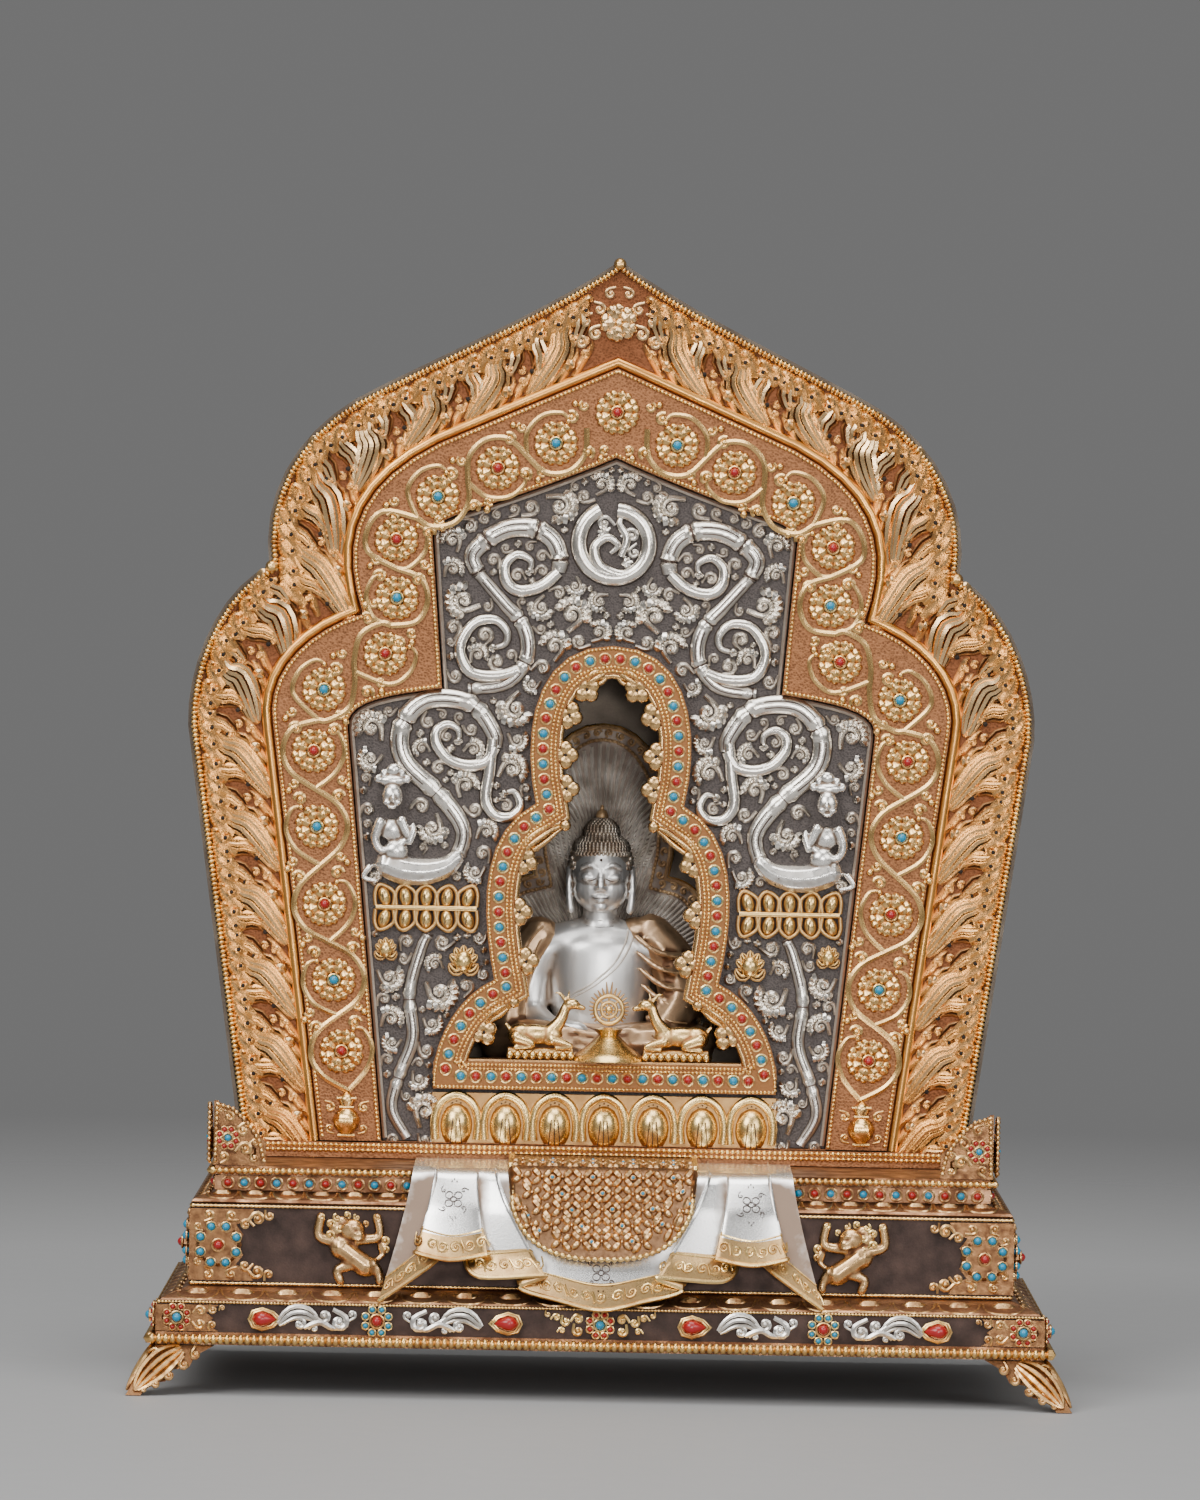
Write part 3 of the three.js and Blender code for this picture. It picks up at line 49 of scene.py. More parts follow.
class Tone:
    # an output in a material's node tree, so that shader maths reads as maths
    def __init__(self, tree, socket):
        self.tree = tree
        self.socket = socket

    def node(self, kind, inputs, output=0, **settings):
        made = self.tree.nodes.new(kind)
        for name, value in settings.items():
            setattr(made, name, value)
        for name, value in inputs.items():
            if isinstance(value, Tone):
                self.tree.links.new(value.socket, made.inputs[name])
            else:
                made.inputs[name].default_value = value
        return Tone(self.tree, made.outputs[output])

    def maths(self, operation, left, right=0.0, clamp=False):
        return self.node("ShaderNodeMath", {0: left, 1: right}, operation=operation, use_clamp=clamp)

    def __add__(self, other):
        return self.maths("ADD", self, other)

    def __radd__(self, other):
        return self.maths("ADD", other, self)

    def __sub__(self, other):
        return self.maths("SUBTRACT", self, other)

    def __rsub__(self, other):
        return self.maths("SUBTRACT", other, self)

    def __mul__(self, other):
        return self.maths("MULTIPLY", self, other)

    def __rmul__(self, other):
        return self.maths("MULTIPLY", other, self)

    def __truediv__(self, other):
        return self.maths("DIVIDE", self, other)

    def between(self, low, high):
        return self.maths("DIVIDE", self - low, high - low, clamp=True)

    def mixed(self, low, high):
        return self.node("ShaderNodeMix", {0: self, 6: low, 7: high}, output=2, data_type="RGBA")

    def noise(self, scale, detail=3.0):
        return self.node("ShaderNodeTexNoise", {"Vector": self, "Scale": scale, "Detail": detail})

    def cells(self, scale):
        return self.node("ShaderNodeTexVoronoi", {"Vector": self, "Scale": scale})


def blankMaterial(name):
    made = bpy.data.materials.new(name)
    made.use_nodes = True
    tree = made.node_tree
    shader = tree.nodes["Principled BSDF"]
    place = Tone(tree, tree.nodes.new("ShaderNodeTexCoord").outputs["Object"])
    return made, shader, place


def dress(shader, color, rough, metal, bump=None, strength=0.4, distance=0.0003):
    tree = shader.id_data
    for socket, value in (("Base Color", color), ("Roughness", rough), ("Metallic", metal)):
        if isinstance(value, Tone):
            tree.links.new(value.socket, shader.inputs[socket])
        else:
            shader.inputs[socket].default_value = value
    if bump is not None:
        lifted = bump.node("ShaderNodeBump", {"Strength": strength, "Distance": distance, "Height": bump})
        tree.links.new(lifted.socket, shader.inputs["Normal"])


# Metal that is bright where it stands proud and dark in the hollows; the dark hollows are partly patina and partly
# painted shade.
# ground is the depth (y) of the sheet behind the relief and height how far the relief rises, in metres.
def reliefMetal(name, bright, dark, ground, height, rough=(0.27, 0.55), patch=0.5, grain=1800, hammer=0.35):
    made, shader, place = blankMaterial(name)
    depth = place.node("ShaderNodeSeparateXYZ", {"Vector": place}, output=1)
    blotch = place.noise(260, 4)
    fine = place.noise(grain, 2)
    # mask from depth: darker nearer the sheet behind, partly patina, partly painted shade in the hollows
    wearAndShade = ((ground - depth) / height + (blotch - 0.5) * patch).between(0.05, 0.8)
    color = wearAndShade.mixed(dark, bright)
    tint = (blotch + fine * 0.5).between(0.5, 1.0)
    color = (tint * 0.22).mixed(color, dark)
    dress(shader, color, rough[1] + wearAndShade * (rough[0] - rough[1]) + (fine - 0.5) * 0.12, 1.0, fine, hammer, 0.00012)
    return made


# Metal whose hollows come from the piece's own cavity attribute; the dark hollows are partly patina and partly painted
# shade
def cavityMetal(name, bright, dark, rough=(0.27, 0.6), patch=0.35, low=0.3, high=0.62, metal=1.0, hammer=0.25):
    made, shader, place = blankMaterial(name)
    cavity = place.node("ShaderNodeAttribute", {}, output=2, attribute_name="cavity")
    blotch = place.noise(300, 4)
    fine = place.noise(1500, 2)
    # mask from the cavity attribute: darker in hollows, partly patina, partly painted shade
    wearAndShade = (cavity + (blotch - 0.5) * patch).between(low, high)
    color = wearAndShade.mixed(dark, bright)
    dress(shader, color, rough[1] + wearAndShade * (rough[0] - rough[1]) + (fine - 0.5) * 0.1, metal, fine, hammer, 0.00012)
    return made


# Plain metal with blotches of patina over it
def patinaMetal(name, bright, dark, rough=(0.3, 0.55), cover=(0.4, 0.66), grain=1500, hammer=0.3, scale=140, metal=1.0):
    made, shader, place = blankMaterial(name)
    blotch = place.noise(scale, 5)
    fine = place.noise(grain, 2)
    wearAndShade = (blotch + (fine - 0.5) * 0.25).between(*cover)
    color = wearAndShade.mixed(dark, bright)
    dress(shader, color, rough[1] + wearAndShade * (rough[0] - rough[1]) + (fine - 0.5) * 0.1, metal, fine, hammer, 0.00015)
    return made


# Chased ground, pitted with a small round punch
def punchedMetal(name, bright, dark, rough, scale=1300, metal=0.9, strength=0.8):
    made, shader, place = blankMaterial(name)
    pits = place.cells(scale)
    blotch = place.noise(220, 4)
    color = (pits * 1.4 + (blotch - 0.5) * 0.8).between(0.1, 0.9).mixed(dark, bright)
    dress(shader, color, rough, metal, pits, strength, 0.0002)
    return made


def stoneMaterial(name, main, vein, rough=0.28, veins=0.62):
    made, shader, place = blankMaterial(name)
    cloud = place.noise(700, 5)
    color = cloud.between(veins, veins + 0.12).mixed(main, vein)
    dress(shader, color, rough + cloud * 0.1, 0.0, cloud, 0.1, 0.0001)
    shader.inputs["Coat Weight"].default_value = 0.3
    shader.inputs["Coat Roughness"].default_value = 0.15
    return made


finish = {
    "flame": reliefMetal("giltFlame", (0.94, 0.63, 0.31, 1), (0.33, 0.135, 0.055, 1), -0.0101, 0.0013, (0.28, 0.5), 0.3),
    "flameGround": punchedMetal("flameGround", (0.26, 0.095, 0.04, 1), (0.14, 0.05, 0.02, 1), 0.6),
    "ornament": patinaMetal("ornamentGilt", (0.80, 0.50, 0.21, 1), (0.34, 0.16, 0.065, 1), (0.28, 0.45), (0.3, 0.6), scale=420),
    "band": reliefMetal("giltBand", (0.94, 0.60, 0.23, 1), (0.36, 0.13, 0.045, 1), -0.0121, 0.0012),
    "copperGround": punchedMetal("copperGround", (0.36, 0.155, 0.068, 1), (0.17, 0.07, 0.03, 1), 0.55),
    "cove": patinaMetal("coveGold", (0.82, 0.42, 0.11, 1), (0.58, 0.25, 0.065, 1), (0.24, 0.36), (0.2, 0.8), hammer=0.1),
    "bead": patinaMetal("giltBead", (0.93, 0.60, 0.22, 1), (0.50, 0.24, 0.08, 1), (0.24, 0.42), (0.2, 0.6)),
    "silver": reliefMetal("silverRelief", (0.90, 0.84, 0.75, 1), (0.15, 0.105, 0.08, 1), -0.0098, 0.0014, (0.25, 0.5), 0.4),
    "silverEdge": patinaMetal("silverEdge", (0.60, 0.51, 0.42, 1), (0.34, 0.26, 0.2, 1), (0.35, 0.55), (0.3, 0.7)),
    "panelGround": punchedMetal("blackGround", (0.10, 0.082, 0.075, 1), (0.045, 0.036, 0.033, 1), 0.62, 1500, 0.5),
    "engraving": patinaMetal("engraving", (0.10, 0.055, 0.04, 1), (0.05, 0.03, 0.022, 1), (0.6, 0.7), metal=0.3),
    "frame": reliefMetal("giltFrame", (0.50, 0.27, 0.11, 1), (0.28, 0.125, 0.05, 1), -0.0132, 0.0012, (0.34, 0.5)),
    "cusp": reliefMetal("giltCusp", (0.74, 0.47, 0.20, 1), (0.40, 0.19, 0.08, 1), -0.0100, 0.0022),
    "gold": reliefMetal("giltRelief", (0.95, 0.66, 0.26, 1), (0.36, 0.16, 0.06, 1), -0.0106, 0.0022),
    "trim": patinaMetal("goldTrim", (0.95, 0.68, 0.28, 1), (0.55, 0.29, 0.1, 1), (0.26, 0.42), (0.25, 0.6)),
    "carvedGold": cavityMetal("giltCarved", (0.93, 0.62, 0.25, 1), (0.34, 0.15, 0.06, 1)),
    "lionGold": cavityMetal("lionGold", (0.74, 0.46, 0.21, 1), (0.22, 0.10, 0.05, 1)),
    "carvedSilver": cavityMetal("silverCarved", (0.92, 0.88, 0.82, 1), (0.22, 0.16, 0.12, 1)),
    "skin": cavityMetal("silverSkin", (0.90, 0.88, 0.85, 1), (0.34, 0.26, 0.20, 1), (0.34, 0.5), 0.2, 0.15, 0.45, 0.8, 0.12),
    "robe": cavityMetal("robeCopper", (0.66, 0.43, 0.25, 1), (0.15, 0.075, 0.04, 1), (0.32, 0.5), metal=0.85),
    "hair": cavityMetal("curledHair", (0.66, 0.56, 0.46, 1), (0.16, 0.10, 0.065, 1), (0.35, 0.5), metal=0.8),
    "curlTip": patinaMetal("curlTip", (0.72, 0.64, 0.54, 1), (0.34, 0.25, 0.18, 1), (0.35, 0.5), metal=0.8),
    "ray": patinaMetal("haloRay", (0.78, 0.72, 0.65, 1), (0.50, 0.43, 0.36, 1), (0.34, 0.5), metal=0.25),
    "haloBack": patinaMetal("haloBack", (0.30, 0.24, 0.19, 1), (0.18, 0.13, 0.10, 1), (0.45, 0.6), metal=0.4),
    "haloRim": patinaMetal("haloRim", (0.74, 0.48, 0.25, 1), (0.30, 0.17, 0.08, 1), (0.35, 0.5), metal=0.4),
    "bronze": patinaMetal("antiqueBronze", (0.50, 0.27, 0.14, 1), (0.18, 0.08, 0.04, 1), (0.36, 0.55), (0.42, 0.7)),
    "field": patinaMetal("darkField", (0.075, 0.042, 0.032, 1), (0.032, 0.019, 0.015, 1), (0.42, 0.6), (0.3, 0.75), metal=0.6),
    "wearAndShade": patinaMetal("rubbedGilt", (0.70, 0.43, 0.19, 1), (0.26, 0.12, 0.055, 1), (0.28, 0.5), (0.34, 0.6), scale=420),
    "baseSilver": patinaMetal("baseSilver", (0.86, 0.83, 0.78, 1), (0.46, 0.40, 0.34, 1), (0.28, 0.42), (0.25, 0.6)),
    "cloth": cavityMetal("silverCloth", (0.93, 0.91, 0.88, 1), (0.27, 0.19, 0.14, 1), (0.26, 0.5), 0.25, 0.2, 0.5, 0.95, 0.12),
    "clothBorder": patinaMetal("giltBorder", (0.55, 0.35, 0.15, 1), (0.26, 0.14, 0.06, 1), (0.28, 0.4), (0.2, 0.5), hammer=0.1),
    "apron": patinaMetal("brocadeGilt", (0.30, 0.165, 0.085, 1), (0.14, 0.07, 0.035, 1), (0.35, 0.5), (0.3, 0.65), scale=500),
    "brocade": patinaMetal("brocadeFlower", (0.72, 0.45, 0.21, 1), (0.36, 0.18, 0.08, 1), (0.28, 0.42), (0.25, 0.6), scale=500),
    "plate": patinaMetal("plateCopper", (0.31, 0.155, 0.068, 1), (0.12, 0.052, 0.026, 1), (0.32, 0.5), (0.3, 0.62), scale=380),
    "box": patinaMetal("boxCopper", (0.165, 0.135, 0.105, 1), (0.095, 0.075, 0.06, 1), (0.44, 0.6), (0.3, 0.75), scale=75),
    # dark balls where holes are drilled: painted shade of the holes
    "dark": patinaMetal("paintedHoleShade", (0.03, 0.018, 0.012, 1), (0.015, 0.01, 0.008, 1), (0.8, 0.9), metal=0.0),
    "turquoise": stoneMaterial("turquoise", (0.0, 0.24, 0.42, 1), (0.02, 0.12, 0.14, 1)),
    "coral": stoneMaterial("coral", (0.34, 0.004, 0.005, 1), (0.24, 0.006, 0.006, 1), veins=0.7),
}
print("finishes made:", len(finish))


# Making pieces

def only(obj):
    bpy.ops.object.select_all(action="DESELECT")
    obj.select_set(True)
    bpy.context.view_layer.objects.active = obj
    return obj


def apply(obj, kind, **settings):
    only(obj)
    modifier = obj.modifiers.new(kind.lower(), kind)
    for name, value in settings.items():
        setattr(modifier, name, value)
    bpy.ops.object.modifier_apply(modifier=modifier.name)
    return obj


def finished(name, parts, nodes):
    bpy.ops.object.select_all(action="DESELECT")
    for part in parts:
        part.select_set(True)
    bpy.context.view_layer.objects.active = parts[0]
    if len(parts) > 1:
        bpy.ops.object.join()
    piece = bpy.context.view_layer.objects.active
    piece.name = name
    piece.scale = (millimetre,) * 3
    bpy.ops.object.transform_apply(location=True, rotation=True, scale=True)
    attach(piece, "root")
    if nodes:
        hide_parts(*nodes)
    return piece


def curveToMesh(curve, finishName):
    obj = bpy.data.objects.new(curve.name, curve)
    bpy.context.collection.objects.link(obj)
    only(obj)
    bpy.ops.object.convert(target="MESH")
    obj = bpy.context.view_layer.objects.active
    obj.data.materials.clear()
    obj.data.materials.append(finish[finishName])
    return obj


# A flat sheet cut to outlines of [across, up], from one depth to another
def sheetOf(outlines, front, back, finishName):
    curve = bpy.data.curves.new("sheet", "CURVE")
    curve.dimensions = "2D"
    curve.fill_mode = "BOTH"
    curve.extrude = (back - front) / 2
    for outline in outlines:
        spline = curve.splines.new("POLY")
        spline.points.add(len(outline) - 1)
        for point, (across, up) in zip(spline.points, outline):
            point.co = (across, up, 0, 1)
        spline.use_cyclic_u = True
    obj = curveToMesh(curve, finishName)
    obj.rotation_euler = (math.pi / 2, 0, 0)
    obj.location = (0, (front + back) / 2, 0)
    only(obj)
    bpy.ops.object.transform_apply(location=True, rotation=True, scale=True)
    return obj


def smooth(points, steps=5):
    points = [Vector(point) for point in points]
    line = []
    for place in range(len(points) - 1):
        a = points[max(0, place - 1)]
        b = points[place]
        c = points[place + 1]
        d = points[min(len(points) - 1, place + 2)]
        for step in range(steps):
            t = step / steps
            line.append(0.5 * (2 * b + (c - a) * t + (2 * a - 5 * b + 4 * c - d) * t ** 2 + (3 * b - a - 3 * c + d) * t ** 3))
    line.append(points[-1])
    return line


# A line that can be walked by its length
class Track:
    def __init__(self, points):
        self.points = [Vector(point) for point in points]
        self.marks = [0.0]
        for start, end in zip(self.points, self.points[1:]):
            self.marks.append(self.marks[-1] + (end - start).length)
        self.length = self.marks[-1]

    def at(self, distance):
        distance = min(max(distance, 0.0), self.length)
        span = min(max(bisect_right(self.marks, distance) - 1, 0), len(self.points) - 2)
        run = max(self.marks[span + 1] - self.marks[span], 1e-9)
        return self.points[span].lerp(self.points[span + 1], (distance - self.marks[span]) / run)

    def heading(self, distance):
        return (self.at(distance + 0.4) - self.at(distance - 0.4)).normalized()

    def places(self, pitch):
        count = max(1, round(self.length / pitch))
        return [(place + 0.5) * self.length / count for place in range(count)]


# Strokes of one finish, gathered and turned into one mesh
class Relief:
    def __init__(self, finishName, sides=6, mirrored=False):
        self.finishName = finishName
        self.sides = sides
        self.mirrored = mirrored
        self.strokes = []

    def line(self, points, radii, closed=False):
        if not isinstance(radii, list):
            radii = [radii] * len(points)
        self.strokes.append((points, radii, closed))
        if self.mirrored:
            self.strokes.append(([Vector((-p[0], p[1], p[2])) for p in points], radii, closed))

    def ball(self, centre, radius, stretch=1.0, along=(0, 0, 1), steps=4):
        axis = Vector(along)
        angles = [math.pi * step / steps for step in range(steps + 1)]
        points = [Vector(centre) - axis * radius * stretch * math.cos(angle) for angle in angles]
        self.line(points, [max(0.03, radius * math.sin(angle)) for angle in angles])

    def beads(self, points, pitch, radius, neck=0.35, closed=False):
        track = Track(list(points) + list(points[:1]) if closed else points)
        count = max(2, round(track.length / pitch))
        step = track.length / count
        line = []
        radii = []
        for bead in range(count):
            for share, swell in ((0.0, neck), (0.32, 1.0), (0.68, 1.0)):
                line.append(track.at((bead + share) * step))
                radii.append(radius * swell)
        self.line(line, radii, closed)

    def made(self):
        curve = bpy.data.curves.new(self.finishName, "CURVE")
        curve.dimensions = "3D"
        curve.bevel_depth = 1.0
        curve.bevel_resolution = max(0, (self.sides - 4) // 2)
        curve.use_fill_caps = True
        for points, radii, closed in self.strokes:
            spline = curve.splines.new("POLY")
            spline.points.add(len(points) - 1)
            spline.points.foreach_set("co", [value for p in points for value in (p[0], p[1], p[2], 1.0)])
            spline.points.foreach_set("radius", radii)
            spline.use_cyclic_u = closed
            spline.use_smooth = True
        obj = curveToMesh(curve, self.finishName)
        only(obj)
        bpy.ops.object.shade_smooth_by_angle(angle=math.radians(55))
        return obj


# Places on one of the four sides, as [across, how far out, up]; side 0 is the front
def side(turn):
    angle = turn * math.pi / 2
    across = Vector((math.cos(angle), math.sin(angle), 0))
    outward = Vector((math.sin(angle), -math.cos(angle), 0))
    return lambda a, out, up: across * a + outward * out + Vector((0, 0, up))


front = side(0)


def onFace(u, v, out):
    return front(u, out, ghauBottom + v)


# A stroke that swells after its start and thins towards its end
def tapered(relief, put, points, out, width, start=0.5, end=0.15, steps=5, peak=0.35):
    line = smooth(points, steps)
    radii = []
    for place in range(len(line)):
        share = place / (len(line) - 1)
        if share < peak:
            swell = start + (1 - start) * math.sin(share / peak * math.pi / 2)
        else:
            swell = end + (1 - end) * math.cos((share - peak) / (1 - peak) * math.pi / 2)
        radii.append(width * swell)
    relief.line([put(p.x, out, p.y) for p in line], radii)


def spiralLine(centre, radius, angle, turns, hand, steps=12, shrink=0.28):
    line = []
    for step in range(steps + 1):
        share = step / steps
        turn = angle + hand * turns * 2 * math.pi * share
        reach = radius * (1 - share * (1 - shrink))
        line.append((centre[0] + reach * math.cos(turn), centre[1] + reach * math.sin(turn)))
    return line


# A scroll end: a spiral that thins a little and closes on a ball
def curl(relief, put, centre, radius, angle, hand, out, width=None, turns=1.15, tail=True):
    width = width or radius * 0.3
    line = spiralLine(centre, radius - width * 0.5, angle, turns, hand)
    if tail:
        start = Vector(line[0])
        heading = Vector((-math.sin(angle), math.cos(angle))) * -hand
        line.insert(0, tuple(start + heading * radius * 0.9 + (start - Vector(centre)) * 0.25))
    count = len(line)
    radii = [width * (0.45 + 0.55 * math.sin(math.pi * min(1.0, 0.15 + place / count))) for place in range(count)]
    relief.line([put(a, out, b) for a, b in line], radii)
    relief.ball(put(centre[0], out + width * 0.3, centre[1]), width * 1.15, steps=5)


# Thin strands side by side that part at the middle and meet at the tip
def strands(relief, put, points, out, width, count, steps=3, rise=1.0, start=0.35, thick=1.25):
    line = smooth([Vector(p) for p in points], steps)
    last = len(line) - 1
    for strand in range(count):
        offset = (strand - (count - 1) / 2) / max(1, count - 1) * 2
        path = []
        radii = []
        for place, point in enumerate(line):
            share = place / last
            along = (line[min(last, place + 1)] - line[max(0, place - 1)]).normalized()
            spread = start + (1 - start) * math.sin(min(1.0, share / 0.45) * math.pi / 2)
            spread *= math.cos(max(0.0, (share - 0.45) / 0.55) * math.pi / 2) ** 0.8 if share < 1 else 0.0
            across = offset * width * spread
            lift = rise * (1 - offset * offset) * spread
            path.append(put(point.x - along.y * across, out + lift, point.y + along.x * across))
            radii.append(max(0.14, width / count * thick * (0.35 + 0.65 * spread)))
        relief.line(path, radii)


# A leaf combed into strands that spread from its root
def fan(relief, put, root, angle, length, out, count=5, spread=1.1, width=0.6):
    for strand in range(count):
        share = (strand - (count - 1) / 2) / ((count - 1) / 2)
        turn = angle + share * spread / 2
        bend = angle + share * spread * 1.25
        reach = length * (1 - 0.22 * abs(share))
        middle = (root[0] + reach * 0.5 * math.cos(turn), root[1] + reach * 0.5 * math.sin(turn))
        tip = (middle[0] + reach * 0.5 * math.cos(bend), middle[1] + reach * 0.5 * math.sin(bend))
        line = [put(root[0], out, root[1]), put(middle[0], out + 0.5, middle[1]), put(tip[0], out + 0.2, tip[1])]
        relief.line(smooth(line, 2), [width * s for s in (0.5, 0.8, 1.0, 1.05, 0.75)])


def ringAt(relief, put, centre, radius, tube, out, count=12):
    angles = [2 * math.pi * step / count for step in range(count)]
    points = [put(centre[0] + radius * math.cos(a), out, centre[1] + radius * math.sin(a)) for a in angles]
    relief.line(points, [tube] * count, True)


# Round limbs and eggs run together into one carved body, with its hollows kept as an attribute that darkens them,
# partly as patina, partly as painted shade
def carved(name, eggs, limbs, voxel, finishName, smoothing=3):
    parts = []
    for centre, radii, *turn in eggs:
        rotation = [math.radians(value) for value in turn[0]] if turn else (0, 0, 0)
        bpy.ops.mesh.primitive_uv_sphere_add(
            segments=28, ring_count=18, radius=1, location=centre, rotation=rotation, scale=radii)
        parts.append(bpy.context.view_layer.objects.active)
    if limbs:
        tubes = Relief(finishName, 10)
        for points, radii in limbs:
            line = smooth([Vector(p) for p in points], 4)
            marks = [place / (len(line) - 1) * (len(radii) - 1) for place in range(len(line))]
            widths = [radii[int(m)] + (radii[min(len(radii) - 1, int(m) + 1)] - radii[int(m)]) * (m % 1) for m in marks]
            tubes.line(line, widths)
            tubes.ball(line[0], widths[0])
            tubes.ball(line[-1], widths[-1])
        parts.append(tubes.made())
    bpy.ops.object.select_all(action="DESELECT")
    for part in parts:
        part.select_set(True)
    bpy.context.view_layer.objects.active = parts[0]
    bpy.ops.object.join()
    body = bpy.context.view_layer.objects.active
    body.name = name
    bpy.ops.object.transform_apply(location=True, rotation=True, scale=True)
    apply(body, "REMESH", mode="VOXEL", voxel_size=voxel)
    apply(body, "SMOOTH", factor=0.5, iterations=smoothing)
    markCavities(body)
    body.data.materials.clear()
    body.data.materials.append(finish[finishName])
    only(body)
    bpy.ops.object.shade_smooth()
    return body


# How far each point stands proud of a smoothed copy; low values darken the colour, partly as patina, partly as painted
# shade
def markCavities(body):
    count = len(body.data.vertices)
    place = numpy.zeros(count * 3)
    normal = numpy.zeros(count * 3)
    body.data.vertices.foreach_get("co", place)
    body.data.vertices.foreach_get("normal", normal)
    only(body)
    bpy.ops.object.duplicate()
    soft = bpy.context.view_layer.objects.active
    apply(soft, "SMOOTH", factor=0.5, iterations=14)
    softer = numpy.zeros(count * 3)
    soft.data.vertices.foreach_get("co", softer)
    bpy.data.objects.remove(soft)
    proud = ((place - softer).reshape(-1, 3) * normal.reshape(-1, 3)).sum(1)
    spread = max(1e-6, float(numpy.percentile(numpy.abs(proud), 90)))
    attribute = body.data.attributes.new("cavity", "FLOAT", "POINT")
    attribute.data.foreach_set("value", numpy.clip(0.5 + 0.35 * proud / spread, 0, 1).astype(numpy.float32))


# Outlines of the face, right half, as [across, up]

def halfLine(foot, curves, steps=9):
    line = [Vector(foot)]
    for curve in curves:
        if len(curve) == 1:
            line.append(Vector(curve[0]))
            continue
        start = line[-1].copy()
        a, b, c = (Vector(point) for point in curve)
        for step in range(1, steps + 1):
            t = step / steps
            line.append(start * (1 - t) ** 3 + a * 3 * t * (1 - t) ** 2 + b * 3 * t * t * (1 - t) + c * t ** 3)
    return line


def bothHalves(half):
    return half + [Vector((-p.x, p.y)) for p in reversed(half) if abs(p.x) > 1e-6]


def inset(line, width):
    moved = []
    for place, point in enumerate(line):
        inward = (point - line[place - 1]).normalized()
        onward = (line[(place + 1) % len(line)] - point).normalized()
        aside = Vector((-(inward.y + onward.y), inward.x + onward.x)).normalized()
        moved.append(point + aside * width / max(0.45, aside.dot(Vector((-inward.y, inward.x)))))
    return moved


def raised(line, level):
    return [Vector((p.x, max(p.y, level))) for p in line]


def upright(line):
    return [(p.x, p.y + ghauBottom) for p in line]


faceHalf = halfLine((119, 0), [
    [(138.9, 141.7)], [(140, 162), (129, 187), (113, 194.5)],
    [(117, 220), (103, 242), (78.5, 253.7)], [(52, 267.5), (22, 281), (0, 296.5)]])
bandHalf = halfLine((93.6, 5.5), [
    [(111.6, 142.6)], [(114.5, 158), (103, 173), (82.6, 179.5)],
    [(91, 203), (86, 222), (58.6, 236.1)], [(39, 244.8), (18, 254), (0, 261.9)]])
panelHalf = halfLine((73.2, 5.5), [
    [(86.8, 141.4)], [(88, 150), (76, 152.5), (55.9, 155.3)], [(60, 205)],
    [(60.5, 210), (54, 212), (45.9, 214.7)], [(34, 218.5), (14, 226), (0, 232.3)]])
frameHalf = halfLine((57.1, 23.3), [
    [(57.5, 38), (50, 53.5), (37.1, 59.6)], [(41.5, 80), (44, 108), (24.5, 118)],
    [(29.5, 140), (27, 170.5), (0, 170.5)]])
faceLine = bothHalves(faceHalf)
bandLine = bothHalves(bandHalf)
panelLine = bothHalves(panelHalf)
frameLine = bothHalves(frameHalf)
faceFoot = 5.3


flameLook = {"pitch": 24, "main": 5.6, "second": 3.4, "third": 2.9, "cove": 1.9, "bead": 1.2, "beadPitch": 1.5}


def makeBox():
    outside = upright(raised(inset(faceLine, -0.8), 0))
    wall = sheetOf([outside, upright(raised(inset(faceLine, 0.4), 1.2))], -9.9, 42.8, "box")
    back = sheetOf([outside], 42.8, 43.8, "box")
    edge = Relief("box", 6)
    edge.line([front(p[0], -43.2, p[1]) for p in outside], 0.7, True)
    finished("boxShell", [wall, back, edge.made()], ["box_shell"])
    print("box done")


def makeFlames():
    ground = sheetOf([upright(raised(inset(faceLine, 0.7), faceFoot)), upright(raised(inset(bandLine, -0.3), faceFoot))],
                     -10, -8.8, "flameGround")
    flame = Relief("flame", 4, True)
    eye = Relief("dark", 5, True)
    rim = Track(faceHalf)
    cove = Track(bandHalf)
    for start, end, rimStart, rimEnd in ((0.0, 0.585, 0.03, 0.545), (0.6, 0.975, 0.57, 0.97)):
        count = round(rim.length * (rimEnd - rimStart) / flameLook["pitch"])
        for unit in range(count):
            share = unit / (count - 0.3)
            root = cove.at(cove.length * (start + (end - start) * share))
            walked = rim.length * (rimStart + (rimEnd - rimStart) * share)
            edge = rim.at(walked)
            away = (edge - root).normalized()
            inside = root + away * 3.6
            reach = (edge - root).length - 6.6
            upward = rim.heading(walked)

            def at(out, up):
                return inside + away * reach * out + upward * up

            flameUnit(flame, eye, at, math.atan2(away.y, away.x))
    crown = Relief("flame", 6)
    petalRing(crown, onFaceOut, (0, 277), 5.6, 5, 11.2)
    crown.ball(onFaceOut(0, 11.9, 277), 1.5)
    for hand in (-1, 1):
        for across, up, size, turn in ((7.6, 273.4, 2.6, 1), (6.4, 281.4, 2.2, -1), (12.4, 270.4, 2.4, -1), (11, 277.4, 2.4, 1), (3, 286.6, 2.0, 1)):
            curl(crown, onFaceOut, (hand * across, up), size, math.pi / 2, -hand * turn, 10.6)
    coveWire = Relief("cove", 10)
    line = [onFaceOut(p.x, 10.2, max(p.y, faceFoot)) for p in inset(bandLine, -flameLook["cove"])]
    coveWire.line(line, flameLook["cove"])
    finished("flameBorder", [ground, flame.made(), eye.made(), crown.made(), coveWire.made()], ["flame_sheet"])

    wire = Relief("bead", 6)
    wire.beads([onFaceOut(p.x, 11.5, max(p.y, faceFoot + 0.3)) for p in inset(faceLine, 1.2)], flameLook["beadPitch"], flameLook["bead"])
    for across, up in ((0, 296.2), (113, 194.5), (-113, 194.5)):
        wire.ball(onFaceOut(across, 11.6, up), 2.1, steps=8)
    finished("faceBeadWire", [wire.made()], ["face_beads"])
    print("flames done")


def onFaceOut(across, out, up):
    return onFace(across, up, out)


